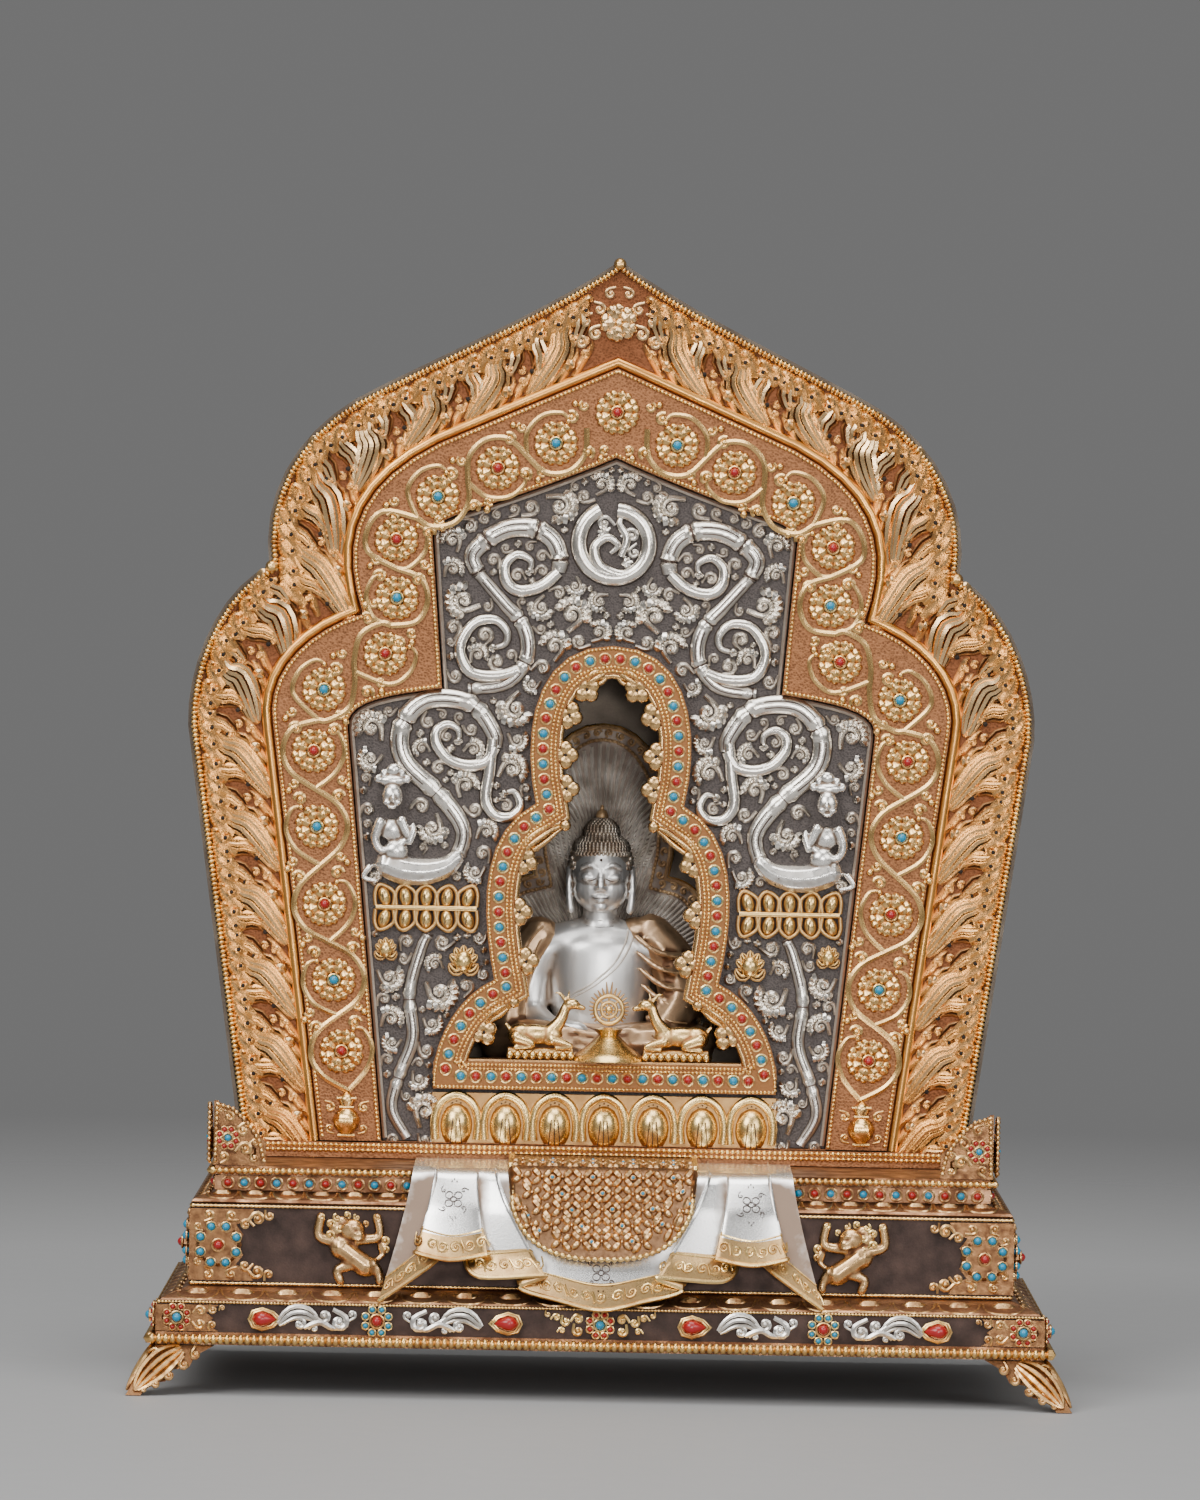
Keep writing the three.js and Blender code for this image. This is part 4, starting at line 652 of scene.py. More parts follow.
# Petals in a ring, each a low dome with two lobes at its end
def petalRing(relief, put, centre, radius, petals, out, sink=0.95):
    half = radius * math.sin(math.pi / petals) * 0.8
    for petal in range(petals):
        angle = 2 * math.pi * (petal + 0.5) / petals
        axis = put(math.cos(angle), 0, math.sin(angle)) - put(0, 0, 0)
        for turn, reach, size, stretch, drop in (
                (angle, 0.56, 1.0, 1.3, sink), (angle - 0.4 * math.pi / petals, 0.83, 0.76, 1.0, sink * 0.5),
                (angle + 0.4 * math.pi / petals, 0.83, 0.76, 1.0, sink * 0.5)):
            place = put(centre[0] + radius * reach * math.cos(turn), out - drop, centre[1] + radius * reach * math.sin(turn))
            relief.ball(place, half * size, stretch, axis)


# Rosette band

bandLook = {"rosette": 7.3, "vine": 1.05, "ring": 10.2, "bead": 0.72, "beadPitch": 1.4}
rosettePlaces = [
    (87, 35), (90, 58.5), (93.5, 83.5), (96.5, 109), (98, 134), (95, 154.3),
    (75, 166.5), (71.5, 185), (72, 204.2), (58.6, 218.6), (39, 228.4), (20, 236.9)]


def makeRosetteBand():
    ground = sheetOf([upright(raised(bandLine, faceFoot)), upright(raised(inset(panelLine, -0.2), faceFoot))],
                     -12.2, -8.8, "copperGround")
    gold = Relief("band", 6, True)
    middle = Relief("band", 6)
    blue = Relief("turquoise", 8, True)
    red = Relief("coral", 8, True)
    peakStone = Relief("coral", 8)
    dark = Relief("engraving", 4, True)
    centres = [Vector(p) for p in rosettePlaces] + [Vector((0, 247.4))]
    ring = bandLook["ring"]
    for place, centre in enumerate(centres):
        peak = place == len(centres) - 1
        relief = middle if peak else gold
        petalRing(relief, onFaceOut, centre, bandLook["rosette"], 8, 12.35)
        ringAt(relief, onFaceOut, centre, 1.95, 0.42, 13.3)
        stone = peakStone if peak else (blue if (len(centres) - place) % 2 == 0 else red)
        stone.ball(onFaceOut(centre.x, 13.2, centre.y), 1.55, 1.0, (0, 1, 0), 8)
        if not peak:
            for petal in range(8):
                angle = 2 * math.pi * petal / 8
                gap = centre + Vector((math.cos(angle), math.sin(angle))) * 5.9
                dark.ball(onFaceOut(gap.x, 12.4, gap.y), 0.4, steps=3)
    crossings = [Vector((84.5, 22))]
    for a, b in zip(centres, centres[1:]):
        crossings.append((a + b) / 2)
    for place, centre in enumerate(centres[:-1]):
        before = crossings[place]
        after = crossings[place + 1]
        heading = math.atan2(after.y - before.y, after.x - before.x)
        hand = 1 if place % 2 else -1

        def around(turn, reach=ring):
            return centre + Vector((math.cos(heading + turn), math.sin(heading + turn))) * reach

        main = [before, around(hand * 2.35), around(hand * 1.57), around(hand * 0.8), after]
        tapered(gold, onFaceOut, main, 12.5, bandLook["vine"], 1, 1, 5)
        branch = [before, around(-hand * 2.35), around(-hand * 1.6), around(-hand * 0.95), around(-hand * 0.62, ring * 0.86)]
        tapered(gold, onFaceOut, branch, 12.4, bandLook["vine"] * 0.9, 1, 0.6, 5)
        gold.ball(onFaceOut(*xz(around(-hand * 0.62, ring * 0.82), 12.6)), 1.0, steps=5)
        for hands, away in ((hand, 10.6), (-hand, 8.4)):
            sideways = Vector((-math.sin(heading), math.cos(heading))) * hands
            for step, size in ((-3.0, 2.5), (2.4, 2.0)):
                point = after + sideways * (away - 2.2 + 0.3 * step) + Vector((math.cos(heading), math.sin(heading))) * step
                curl(gold, onFaceOut, point, size, heading + math.pi / 2 * hands, hands if step > 0 else -hands, 12.5, size * 0.38, 1.1, False)
            leaf = after + sideways * (away + 0.4)
            gold.ball(onFaceOut(leaf.x, 12.5, leaf.y), 1.3, steps=5)
    # Treasure vase at the foot
    vase = Vector((85, 13.5))
    body = [onFaceOut(vase.x, 12.6, vase.y + up) for up in (-5.6, -3.6, -1, 1.4, 2.6, 3.4, 5.2, 6.6, 7.6, 8.4)]
    gold.line(body, [2.2, 3.9, 4.6, 3.6, 2.1, 1.9, 2.9, 2.6, 1.2, 0.4])
    for up, size in ((-6.2, 2.8), (3.0, 2.4), (6.0, 3.2)):
        gold.line([onFaceOut(vase.x - size, 14.2, vase.y + up), onFaceOut(vase.x + size, 14.2, vase.y + up)], 0.6)
    for hands in (-1, 1):
        curl(gold, onFaceOut, (vase.x + hands * 5.6, vase.y + 3), 1.9, math.pi / 2, hands, 12.5)
        curl(gold, onFaceOut, (vase.x + hands * 5.4, vase.y - 4), 1.6, -math.pi / 2, hands, 12.5)
    beadRows = Relief("bead", 6)
    for line in (inset(bandLine, 0.9), inset(panelLine, -1.1)):
        beadRows.beads([onFaceOut(p.x, 12.4, max(p.y, faceFoot + 0.4)) for p in line], bandLook["beadPitch"], bandLook["bead"])
    parts = [ground, gold.made(), middle.made(), blue.made(), red.made(), peakStone.made(), dark.made(), beadRows.made()]
    finished("rosetteBand", parts, ["rosette_band"])
    print("rosette band done")


def xz(point, out):
    return point.x, out, point.y


tubes = [
    (4.1, [(50.5, 98.7), (48.2, 108.6), (55.5, 119.5), (68, 131.3), (69.0, 143.0), (60.8, 151.5), (46.5, 150.5), (38.9, 141.2), (38.5, 136.3)]),
    (3.2, [(47.5, 155.4), (35.8, 157.1), (29.4, 163.4), (28, 170.6), (30.5, 177.9), (36.3, 184.1), (44.6, 193.4)]),
    (4.1, [(44.6, 193.4), (47.0, 199), (43.2, 204.0), (35.4, 208.4), (26.5, 208.6), (20.6, 205.2), (18.0, 199.3), (18.5, 194.5)]),
    (2.7, [(59, 74.6), (61.5, 69), (65, 54.5), (63.6, 39.9), (67.6, 28), (70.2, 16.5), (64.9, 6.6)])]
tendrils = [
    (2.4, [(38.5, 136.3), (41, 131.5), (47.2, 130), (53.5, 132), (57.6, 137), (57.6, 141.5), (54, 143.6), (50.4, 141.6), (50.4, 138)]),
    (2.4, [(18.5, 194.5), (24, 189.8), (31, 188), (35.5, 191), (36.0, 196.6), (32, 200), (27.6, 198), (28, 194.4)]),
    (2.3, [(39, 139), (40, 128), (41, 119), (38, 114), (33, 113.4), (29.6, 117), (31.6, 121.6), (35, 121)]),
    (2.3, [(31, 162), (38, 159.8), (47, 161), (50.5, 169), (46, 177), (39, 178.3), (35, 174.4), (35.6, 170.4), (39.6, 169)])]
nagaEggs = [
    ((71.8, 119.6), (3.5, 2.6, 4.2), 12.6), ((71.6, 108.5), (4.4, 2.6, 4.0), 11.6), ((70.4, 101.4), (4.2, 2.8, 3.8), 12.2),
    ((72, 124.6), (4.6, 2.0, 2.0), 11.6), ((71.6, 128.2), (2.4, 1.6, 2.2), 11.4), ((71.5, 119.0), (0.8, 0.9, 1.3), 15.2),
    ((70.2, 117.6), (1.5, 0.9, 1.1), 14.4), ((73.4, 117.6), (1.5, 0.9, 1.1), 14.4), ((71.8, 115.9), (1.6, 1.0, 0.6), 14.7)]
nagaLimbs = [
    ([(75.6, 111), (77.2, 105.6), (75, 101.6), (70, 103.4), (66.2, 105.6)], [1.9, 1.6, 1.4, 1.3, 1.2], 13.0),
    ([(68.6, 111.6), (66.8, 107.8), (65.6, 105.6)], [1.8, 1.5, 1.2], 13.4),
    ([(65.8, 104.6), (64.6, 108.4), (64.8, 110.6)], [1.2, 1.1, 0.6], 13.8),
    ([(73.4, 97), (68, 95.2), (60.5, 94.8), (54, 96.4), (50.2, 99.6)], [4.4, 5.0, 4.6, 3.8, 2.8], 10.8),
    ([(79, 96), (81, 92.6), (76.6, 91.4)], [1.2, 1.0, 0.8], 11.0)]
# Room kept clear of small scrolls, as [across, up, radius]
keptClear = [
    (71.8, 121, 7.6), (71.4, 129, 3.6), (71, 108, 7.4), (66, 96, 6.4), (57, 97, 5.6), (77, 100, 4.6), (0, 204.3, 15.6),
    (73.1, 69.3, 4.4), (47.3, 66, 5.9), (47, 82.8, 7.4), (53, 82.8, 8), (60, 82.8, 8), (67, 82.8, 8), (73, 82.8, 7.4)]


def makeScrollPanel():
    outline = raised(inset(panelLine, 0.3), faceFoot)
    ground = sheetOf([upright(outline), upright(inset(frameLine, 3.6))], -9.6, -8.8, "panelGround")
    edge = Relief("silverEdge", 6)
    edge.line([onFaceOut(p.x, 9.9, max(p.y, faceFoot + 0.3)) for p in inset(panelLine, 1.1)], 0.85)
    silver = Relief("silver", 8, True)
    thin = Relief("silver", 4, True)
    lines = Relief("engraving", 4, True)
    taken = list(keptClear)
    for width, points in tubes:
        line = smooth([Vector(p) for p in points], 7)
        last = len(line) - 1
        sunk = 9.7 - 0.42 * width
        radii = []
        for place, point in enumerate(line):
            node = place % 14
            swell = 1.1 if node in (0, 2) else 0.86 if node == 1 else 1.0
            radii.append(width * swell * (0.78 + 0.22 * math.sin(math.pi * place / last)))
            taken.append((point.x, point.y, radii[-1] * 0.92))
        silver.line([onFaceOut(p.x, sunk, p.y) for p in line], radii)
        for aside in (-0.3, 0.26):
            drawn = []
            for place, point in enumerate(line):
                along = (line[min(last, place + 1)] - line[max(0, place - 1)]).normalized()
                across = aside * width
                rise = math.sqrt(radii[place] ** 2 - across ** 2)
                drawn.append(onFaceOut(point.x - along.y * across, sunk + rise + 0.02, point.y + along.x * across))
            for start in range(3, last - 8, 14):
                lines.line(drawn[start:start + 10], 0.15)
        for place in range(1, last, 14):
            point = line[place]
            along = (line[place + 1] - line[place - 1]).normalized()
            arc = []
            for step in range(7):
                turn = math.pi * (0.16 + 0.68 * step / 6)
                across = radii[place] * math.cos(turn)
                arc.append(onFaceOut(point.x - along.y * across, sunk + 0.05 + radii[place] * math.sin(turn), point.y + along.x * across))
            lines.line(arc, 0.2)
    for width, points in tendrils:
        tapered(silver, onFaceOut, points, 9.6, width, 0.95, 0.4, 5, 0.2)
        taken += [(p.x, p.y, width * 0.7) for p in smooth([Vector(p) for p in points], 5)]
        end = points[-1]
        thin.ball(onFaceOut(end[0], 11.2, end[1]), 1.5)
    for border, room in ((panelLine, 1.7), (frameLine, 0.4)):
        track = Track(border)
        taken += [(track.at(d).x, track.at(d).y, room) for d in track.places(1.0)]
    for number, (across, up, radius, angle) in enumerate(freeCircles(taken, 6.2, 1.25)):
        hand = 1 if number % 2 else -1
        if radius > 3.2:
            # a shell of combed ridges round a small scroll
            curl(thin, onFaceOut, (across, up), radius * 0.66, angle, hand, 10.2, radius * 0.2, 1.2)
            for ridge in range(9):
                turn = angle + hand * (0.7 + ridge * 0.36)
                inner = onFaceOut(across + radius * 0.62 * math.cos(turn), 10.5, up + radius * 0.62 * math.sin(turn))
                outer = onFaceOut(across + radius * math.cos(turn + hand * 0.3), 10.1, up + radius * math.sin(turn + hand * 0.3))
                thin.line([inner, (inner + outer) / 2 + Vector((0, -0.3, 0)), outer], [0.16 * radius, 0.23 * radius, 0.17 * radius])
        elif radius > 1.7:
            curl(thin, onFaceOut, (across, up), radius, angle, hand, 10.1, radius * 0.32, 1.25)
        else:
            thin.ball(onFaceOut(across, 10.1, up), radius * 0.92, steps=5)
    centre = (0, 204.3)
    middle = Relief("silver", 8)
    middleThin = Relief("silver", 6)
    middle.line([onFaceOut(a, 9.2, b) for a, b in spiralLine(centre, 12.2, 2.0, 0.92, 1, 40, 0.9)], 3.0)
    tapered(middle, onFaceOut, [(8, 195.4), (2, 194), (-5, 197), (-6.6, 203), (-2.4, 206.2), (1, 203.6), (-1.4, 201)], 9.9, 2.0, 0.9, 0.4)
    tapered(middle, onFaceOut, [(2, 200), (4, 206), (1.4, 211), (3.6, 215)], 9.9, 1.6, 0.9, 0.3)
    for across, up, radius, angle, hand in ((5.6, 207, 2.6, 2.6, -1), (-3.6, 211, 2.6, 0.5, 1), (6.4, 201.4, 2.2, 2.0, 1)):
        curl(middleThin, onFaceOut, (across, up), radius, angle, hand, 10.2)
    for across, up, length, angle in ((-2.6, 206.6, 4.0, 2.2), (2.4, 197.6, 3.6, 0.2)):
        fan(middleThin, onFaceOut, (across, up), angle, length, 10.3)
    scales = Relief("engraving", 4, True)
    for row in range(3):
        for step in range(7):
            across = 55 + step * 2.5 + (row % 2) * 1.2
            scales.ball(onFaceOut(across, 15.0 - abs(row - 1) * 0.55 - abs(across - 62) * 0.07, 92.8 + row * 2.1), 0.32, steps=3)
    nagas = []
    for hand in (-1, 1):
        eggs = [((hand * p[0], -out, ghauBottom + p[1]), radii) for p, radii, out in nagaEggs]
        limbs = [([(hand * a, -out, ghauBottom + b) for a, b in points], radii) for points, radii, out in nagaLimbs]
        for tooth in range(5):
            angle = math.pi * (0.1 + 0.2 * tooth)
            eggs.append(((hand * (71.8 + 5.2 * math.cos(angle)), -11.6, ghauBottom + 124 + 3.8 * math.sin(angle)), (1.1, 0.9, 1.5)))
        nagas.append(carved("naga", eggs, limbs, 0.42, "carvedSilver", 2))
    parts = [ground, edge.made(), silver.made(), thin.made(), lines.made(), middle.made(), middleThin.made(), scales.made(), *nagas]
    finished("scrollPanel", parts, ["scroll_panel"])
    print("scroll panel done")


windowLook = {"width": 9.2, "bead": 0.62, "beadPitch": 1.3, "stone": 1.45, "stonePitch": 5.0}


def makeWindow():
    opening = inset(frameLine, windowLook["width"])
    ground = sheetOf([upright(frameLine), upright(opening)], -13.2, -9.9, "frame")
    sillLine = [Vector((-56.6, 23.3)), Vector((56.6, 23.3)), Vector((56.6, 32.4)), Vector((-56.6, 32.4))]
    sillPlate = sheetOf([upright(sillLine)], -13.1, -9.9, "frame")
    gold = Relief("bead", 6)
    for line in (inset(frameLine, 0.8), inset(opening, -1.0), inset(opening, -2.4)):
        gold.beads([onFaceOut(p.x, 13.3, p.y) for p in line], windowLook["beadPitch"], windowLook["bead"], closed=True)
    bezels = Relief("trim", 6)
    stones = {"turquoise": Relief("turquoise", 8), "coral": Relief("coral", 8)}
    arch = Track([p for p in inset(frameLine, windowLook["width"] * 0.44)[:len(frameHalf)]])
    places = [arch.at(distance) for distance in arch.places(windowLook["stonePitch"])]
    seats = [(p.x * hand, p.y, index) for index, p in enumerate(reversed(places)) for hand in (-1, 1)]
    sill = 22
    seats += [(-55 + 110 * (index + 0.5) / sill, 27.6, index) for index in range(1, sill - 1)]
    for across, up, index in seats:
        ringAt(bezels, onFaceOut, (across, up), 1.85, 0.42, 13.4, 10)
        stones["coral" if index % 2 == 0 else "turquoise"].ball(onFaceOut(across, 13.3, up), windowLook["stone"], 1.0, (0, 1, 0), 7)
    cusps = Relief("cusp", 8, True)
    holes = Relief("dark", 5, True)
    cusps.line([onFaceOut(p.x, 11.3, p.y) for p in inset(opening, 0.4)[:len(frameHalf)]], 1.25)
    for across, up, angle in (
            (40.1, 42.1, 2.6), (26.6, 65.8, 3.0), (29.2, 82.1, 3.14), (27.6, 98.9, 3.5),
            (14.4, 123.1, 3.14), (14.9, 134.2, 3.14), (13.8, 147.3, 3.5), (8.2, 155.8, 4.0)):
        centre = Vector((across, up))
        inwards = Vector((math.cos(angle), math.sin(angle)))
        crossways = Vector((-inwards.y, inwards.x))
        for aside, along, radius in ((2.3, 0, 2.1), (-2.3, 0, 2.1), (0, 2.0, 2.1), (0, -2.4, 1.9)):
            lobe = centre + crossways * aside + inwards * along
            cusps.ball(onFaceOut(lobe.x, 11.8, lobe.y), radius * 1.25, 0.5, (0, 1, 0), 6)
        # drilled hole as a dark ball of painted shade
        holes.ball(onFaceOut(across, 12.6, up), 0.55, steps=4)
    for points in ([(30.6, 99), (27.6, 104), (23, 108), (18.5, 110.6), (14.6, 111)],
                   [(42, 44.5), (38.6, 49), (34.2, 52), (30.4, 52.3)],
                   [(9.6, 157.6), (5, 161.2), (0.7, 163)]):
        strands(cusps, onFaceOut, points, 11.2, 3.2, 4, rise=1.7)
        if points[-1][0] > 1:
            cusps.ball(onFaceOut(points[-1][0], 12.2, points[-1][1]), 2.1, 0.8, (0, 1, 0), 7)
    shelf = sheetOf([upright([Vector((-46, 31)), Vector((46, 31)), Vector((46, 33.2)), Vector((-46, 33.2))])], -10.9, -0.9, "cusp")
    parts = [ground, sillPlate, gold.made(), bezels.made(), stones["turquoise"].made(), stones["coral"].made(), cusps.made(), holes.made(), shelf]
    finished("windowFrame", parts, ["window_frame"])
    print("window done")


# Gilt pads, buds, lotus row and bottom rim

def makeGiltTrim():
    for name, hand in (("left", -1), ("right", 1)):
        pad = Relief("gold", 8)
        inlay = Relief("engraving", 4)
        for petal in range(5):
            across = hand * 60 + (petal - 2) * 6.9
            lean = (petal - 2) * 0.16
            for up, turn in ((86.4, 1), (79.2, -1)):
                axis = Vector((math.sin(lean), 0, turn * math.cos(lean)))
                pad.ball(onFaceOut(across, 10.6, up), 2.2, 1.5, axis, 8)
                arch = [(across - 2.9, up - turn * 3.0), (across - 3.1, up + turn * 1.4), (across + lean * 4, up + turn * 3.9),
                        (across + 3.1, up + turn * 1.4), (across + 2.9, up - turn * 3.0)]
                pad.line([onFaceOut(p.x, 10.8, p.y) for p in smooth([Vector(p) for p in arch], 4)], 0.75)
                inlay.line([onFaceOut(across - 0.7, 13.0, up + turn * 1.6), onFaceOut(across - 0.4, 12.9, up - turn * 1.4)], 0.13)
        pad.line([onFaceOut(hand * 60 - 16.6, 11.2, 82.8), onFaceOut(hand * 60 + 16.6, 11.2, 82.8)], 1.0)
        finished("nagaPad_" + name, [pad.made(), inlay.made()], ["naga_lotus_" + name])

        for bud, (across, up, size) in (("outer", (73.1, 69.3, 4.2)), ("inner", (47.3, 66, 5.6))):
            flower = Relief("gold", 8)
            flower.ball(onFaceOut(hand * across, 11.4, up - size * 0.1), size * 0.62, 1.1)
            for petal in range(5):
                angle = math.pi * (0.1 + 0.2 * petal)
                base = (hand * across + size * 0.2 * math.cos(angle), up - size * 0.2)
                tip = (hand * across + size * 0.85 * math.cos(angle), up + size * 0.85 * math.sin(angle))
                strands(flower, onFaceOut, [base, ((base[0] + tip[0]) / 2, (base[1] + tip[1]) / 2), tip], 11.2, size * 0.22, 3, rise=0.7)
            for leaf in (-1, 1):
                root = (hand * across, up - size * 0.55)
                points = [root, (root[0] + leaf * size * 0.5, root[1] - size * 0.1), (root[0] + leaf * size * 0.85, root[1] + size * 0.3)]
                strands(flower, onFaceOut, points, 10.9, size * 0.26, 3, rise=0.7)
            finished(bud + "Bud_" + name, [flower.made()], [bud + "_bud_" + name])

    rowLook = {"half": 56.8, "low": 5.3, "high": 22.6, "petals": 7}
    ground = sheetOf([upright([Vector((-rowLook["half"], 5.3)), Vector((rowLook["half"], 5.3)),
                               Vector((rowLook["half"], 22.0)), Vector((-rowLook["half"], 22.0))])], -11.2, -9.9, "gold")
    petals = Relief("gold", 10)
    scored = Relief("engraving", 4)
    pitch = 2 * rowLook["half"] / rowLook["petals"]
    for petal in range(rowLook["petals"]):
        across = -rowLook["half"] + (petal + 0.5) * pitch
        arch = [(across - 6.9, 6.6), (across - 7.2, 13), (across - 5.2, 18.6), (across, 21.4), (across + 5.2, 18.6), (across + 7.2, 13), (across + 6.9, 6.6)]
        petals.line([onFaceOut(p.x, 11.5, p.y) for p in smooth([Vector(p) for p in arch], 5)], 1.5)
        dome = {"out": 8.9, "half": 6.0, "tall": 7.9, "up": 11.2}
        petals.ball(onFaceOut(across, dome["out"], dome["up"]), dome["half"], dome["tall"] / dome["half"], (0, 0, 1), 12)
        for aside in (-1.9, 0, 1.9):
            cut = []
            for step in range(8):
                up = 5.4 + step * 1.2
                near = aside * (1 - 0.06 * step)
                swell = 1 - (near / dome["half"]) ** 2 - ((up - dome["up"]) / dome["tall"]) ** 2
                cut.append(onFaceOut(across + near, dome["out"] + dome["half"] * math.sqrt(max(0, swell)) + 0.02, up))
            scored.line(cut, 0.16)
        for dot in (-1.4, 0, 1.4):
            scored.ball(onFaceOut(across + dot, 13.4, 19.3 - abs(dot) * 0.4), 0.3, steps=3)
    finished("lotusRow", [ground, petals.made(), scored.made()], ["lotus_row"])

    strip = sheetOf([upright([Vector((-119, 0)), Vector((119, 0)), Vector((119, 5)), Vector((-119, 5))])], -13.2, -10.3, "copperGround")
    rows = Relief("bead", 6)
    for up, size in ((4.1, 0.85), (2.4, 0.85)):
        rows.beads([onFaceOut(-118.6, 13.3, up), onFaceOut(118.6, 13.3, up)], 1.75, size)
    finished("bottomBeadRows", [strip, rows.made()], ["bottom_rim"])
    print("gilt trim done")


figure = {"across": -2.5, "depth": 18, "low": 103.9, "head": 165.8}


def body(a, b, c):
    tall = figure["tall"]
    return Vector((figure["across"] + a * tall, figure["depth"] + b * tall, figure["low"] + c * tall))


def makeFigure():
    head = figure["head"]

    def egg(a, b, c, halfX, halfY, halfZ, turn=(0, 0, 0)):
        return (figure["across"] + a, figure["depth"] + b, c), (halfX, halfY, halfZ), turn

    def limb(points, radii):
        return [(figure["across"] + a, figure["depth"] + b, c) for a, b, c in points], radii

    skin = [
        egg(0, 0, head + 2, 9.6, 10, 10.4), egg(0, -1.4, head - 4.0, 9.0, 8.0, 7.8), egg(-4.4, -3.8, head - 3.4, 4.2, 3.8, 4.4),
        egg(4.4, -3.8, head - 3.4, 4.2, 3.8, 4.4), egg(0, -6.0, head - 9.2, 2.8, 2.2, 2.2)]
    skinLimbs = [
        limb([(0, -9.4, head + 2.6), (0, -10.3, head - 0.6), (0, -10.7, head - 2.6)], [0.75, 0.9, 1.25]),
        limb([(-1.3, -9.6, head - 3.1), (1.3, -9.6, head - 3.1)], [0.75, 0.75]),
        limb([(-2.5, -8.9, head - 5.9), (0, -9.6, head - 5.9), (2.5, -8.9, head - 5.9)], [0.4, 0.72, 0.4]),
        limb([(-2.0, -8.7, head - 7.0), (0, -9.4, head - 7.3), (2.0, -8.7, head - 7.0)], [0.4, 0.85, 0.4])]
    for hand in (-1, 1):
        skin.append(egg(hand * 3.8, -8.2, head + 0.4, 2.7, 1.5, 1.5))
        skinLimbs.append(limb([(hand * 1.3, -9.6, head + 3.3), (hand * 4.0, -9.2, head + 4.7), (hand * 7.2, -7.3, head + 3.2)], [0.4, 0.5, 0.35]))
        ear = [(hand * 10.0, 0.4, head + 3), (hand * 10.6, 0, head - 2), (hand * 10.3, -0.3, head - 7.5), (hand * 9.9, -0.3, head - 10.6)]
        skinLimbs.append(limb(ear, [1.5, 1.1, 1.3, 1.5]))
    flesh = carved("flesh", skin, skinLimbs, 0.45, "skin", 2)
    trunkEggs = [egg(0, 3.4, 117 + 1.7 * step, 14.8 + 3.6 * math.sin(step * 0.1), 10 + 0.8 * math.sin(step * 0.2), 9) for step in range(15)]
    trunkLimbs = [
        limb([(0, 2.6, head - 8), (0, 3.0, head - 15), (0, 3.4, head - 20)], [5.9, 5.8, 7.5]),
        limb([(-20, 3.4, 141), (-11, 3.4, 144), (0, 3.4, 145), (11, 3.4, 144), (20, 3.4, 141)], [6.8, 7.4, 7.8, 7.4, 6.8]),
        limb([(-19, 3, 141), (-22.4, 2.5, 133), (-23, 0, 122)], [7.0, 6.6, 5.8]),
        limb([(-23, 0, 121), (-16, -9, 116), (-6, -12.5, 115)], [5.4, 4.4, 3.4])]
    trunk = carved("trunk", trunkEggs, trunkLimbs, 1.0, "skin", 9)

    lines = Relief("engraving", 5)
    for hand in (-1, 1):
        lid = [(hand * 1.5, head + 0.1), (hand * 3.8, head - 0.75), (hand * 6.2, head + 0.1)]
        lines.line(smooth([onBody(flesh, a, c, 0.03) for a, c in lid], 4), 0.17)
    lines.line(smooth([onBody(flesh, a, c, 0.02) for a, c in ((-2.6, head - 6.3), (0, head - 6.6), (2.6, head - 6.3))], 4), 0.16)
    lines.ball(onBody(flesh, 0, head + 6.2), 0.5)
    for c in (head - 14.2, head - 16.4):
        lines.line(smooth([onBody(trunk, a, c + abs(a) * 0.1, 0.02) for a in (-4.5, 0, 4.5)], 4), 0.13)

    hair = carved("hairCap", [
        egg(0, 1.9, head + 5.0, 10.2, 10.4, 8.4), egg(0, 2.6, head + 14.6, 5.6, 5.6, 5.0), egg(0, 2.0, head + 9.8, 8.9, 9.1, 4.6)],
        [], 1.1, "hair", 2)
    tips = Relief("curlTip", 4)
    for centre, half, levels in (((0, 1.9, head + 5.0), (10.3, 10.5, 8.5), range(-2, 8)), ((0, 2.6, head + 14.6), (5.7, 5.7, 5.1), range(0, 8)),
                                 ((0, 2.0, head + 9.8), (9.1, 9.3, 4.8), range(-1, 7))):
        for level in levels:
            rise = level * math.pi / 17
            count = max(5, round(half[0] * math.cos(rise) * 2.6))
            for step in range(count + 1):
                turn = math.pi * (0.94 + 1.12 * (step + 0.5 * (level % 2)) / count)
                a = half[0] * math.cos(rise) * math.cos(turn)
                b = half[1] * math.cos(rise) * math.sin(turn)
                c = centre[2] + half[2] * math.sin(rise)
                if c < head + 6.6 and b < -3.5 - 0.8 * (head + 6.6 - c):
                    continue
                tips.ball((figure["across"] + a, figure["depth"] + centre[1] + b, c), 0.85, steps=3)
    knob = Relief("haloRim", 8)
    knob.ball((figure["across"], figure["depth"] + 2.6, head + 20.6), 2.2, 1.1)
    knob.ball((figure["across"], figure["depth"] + 2.6, head + 23.2), 0.8, 1.4)

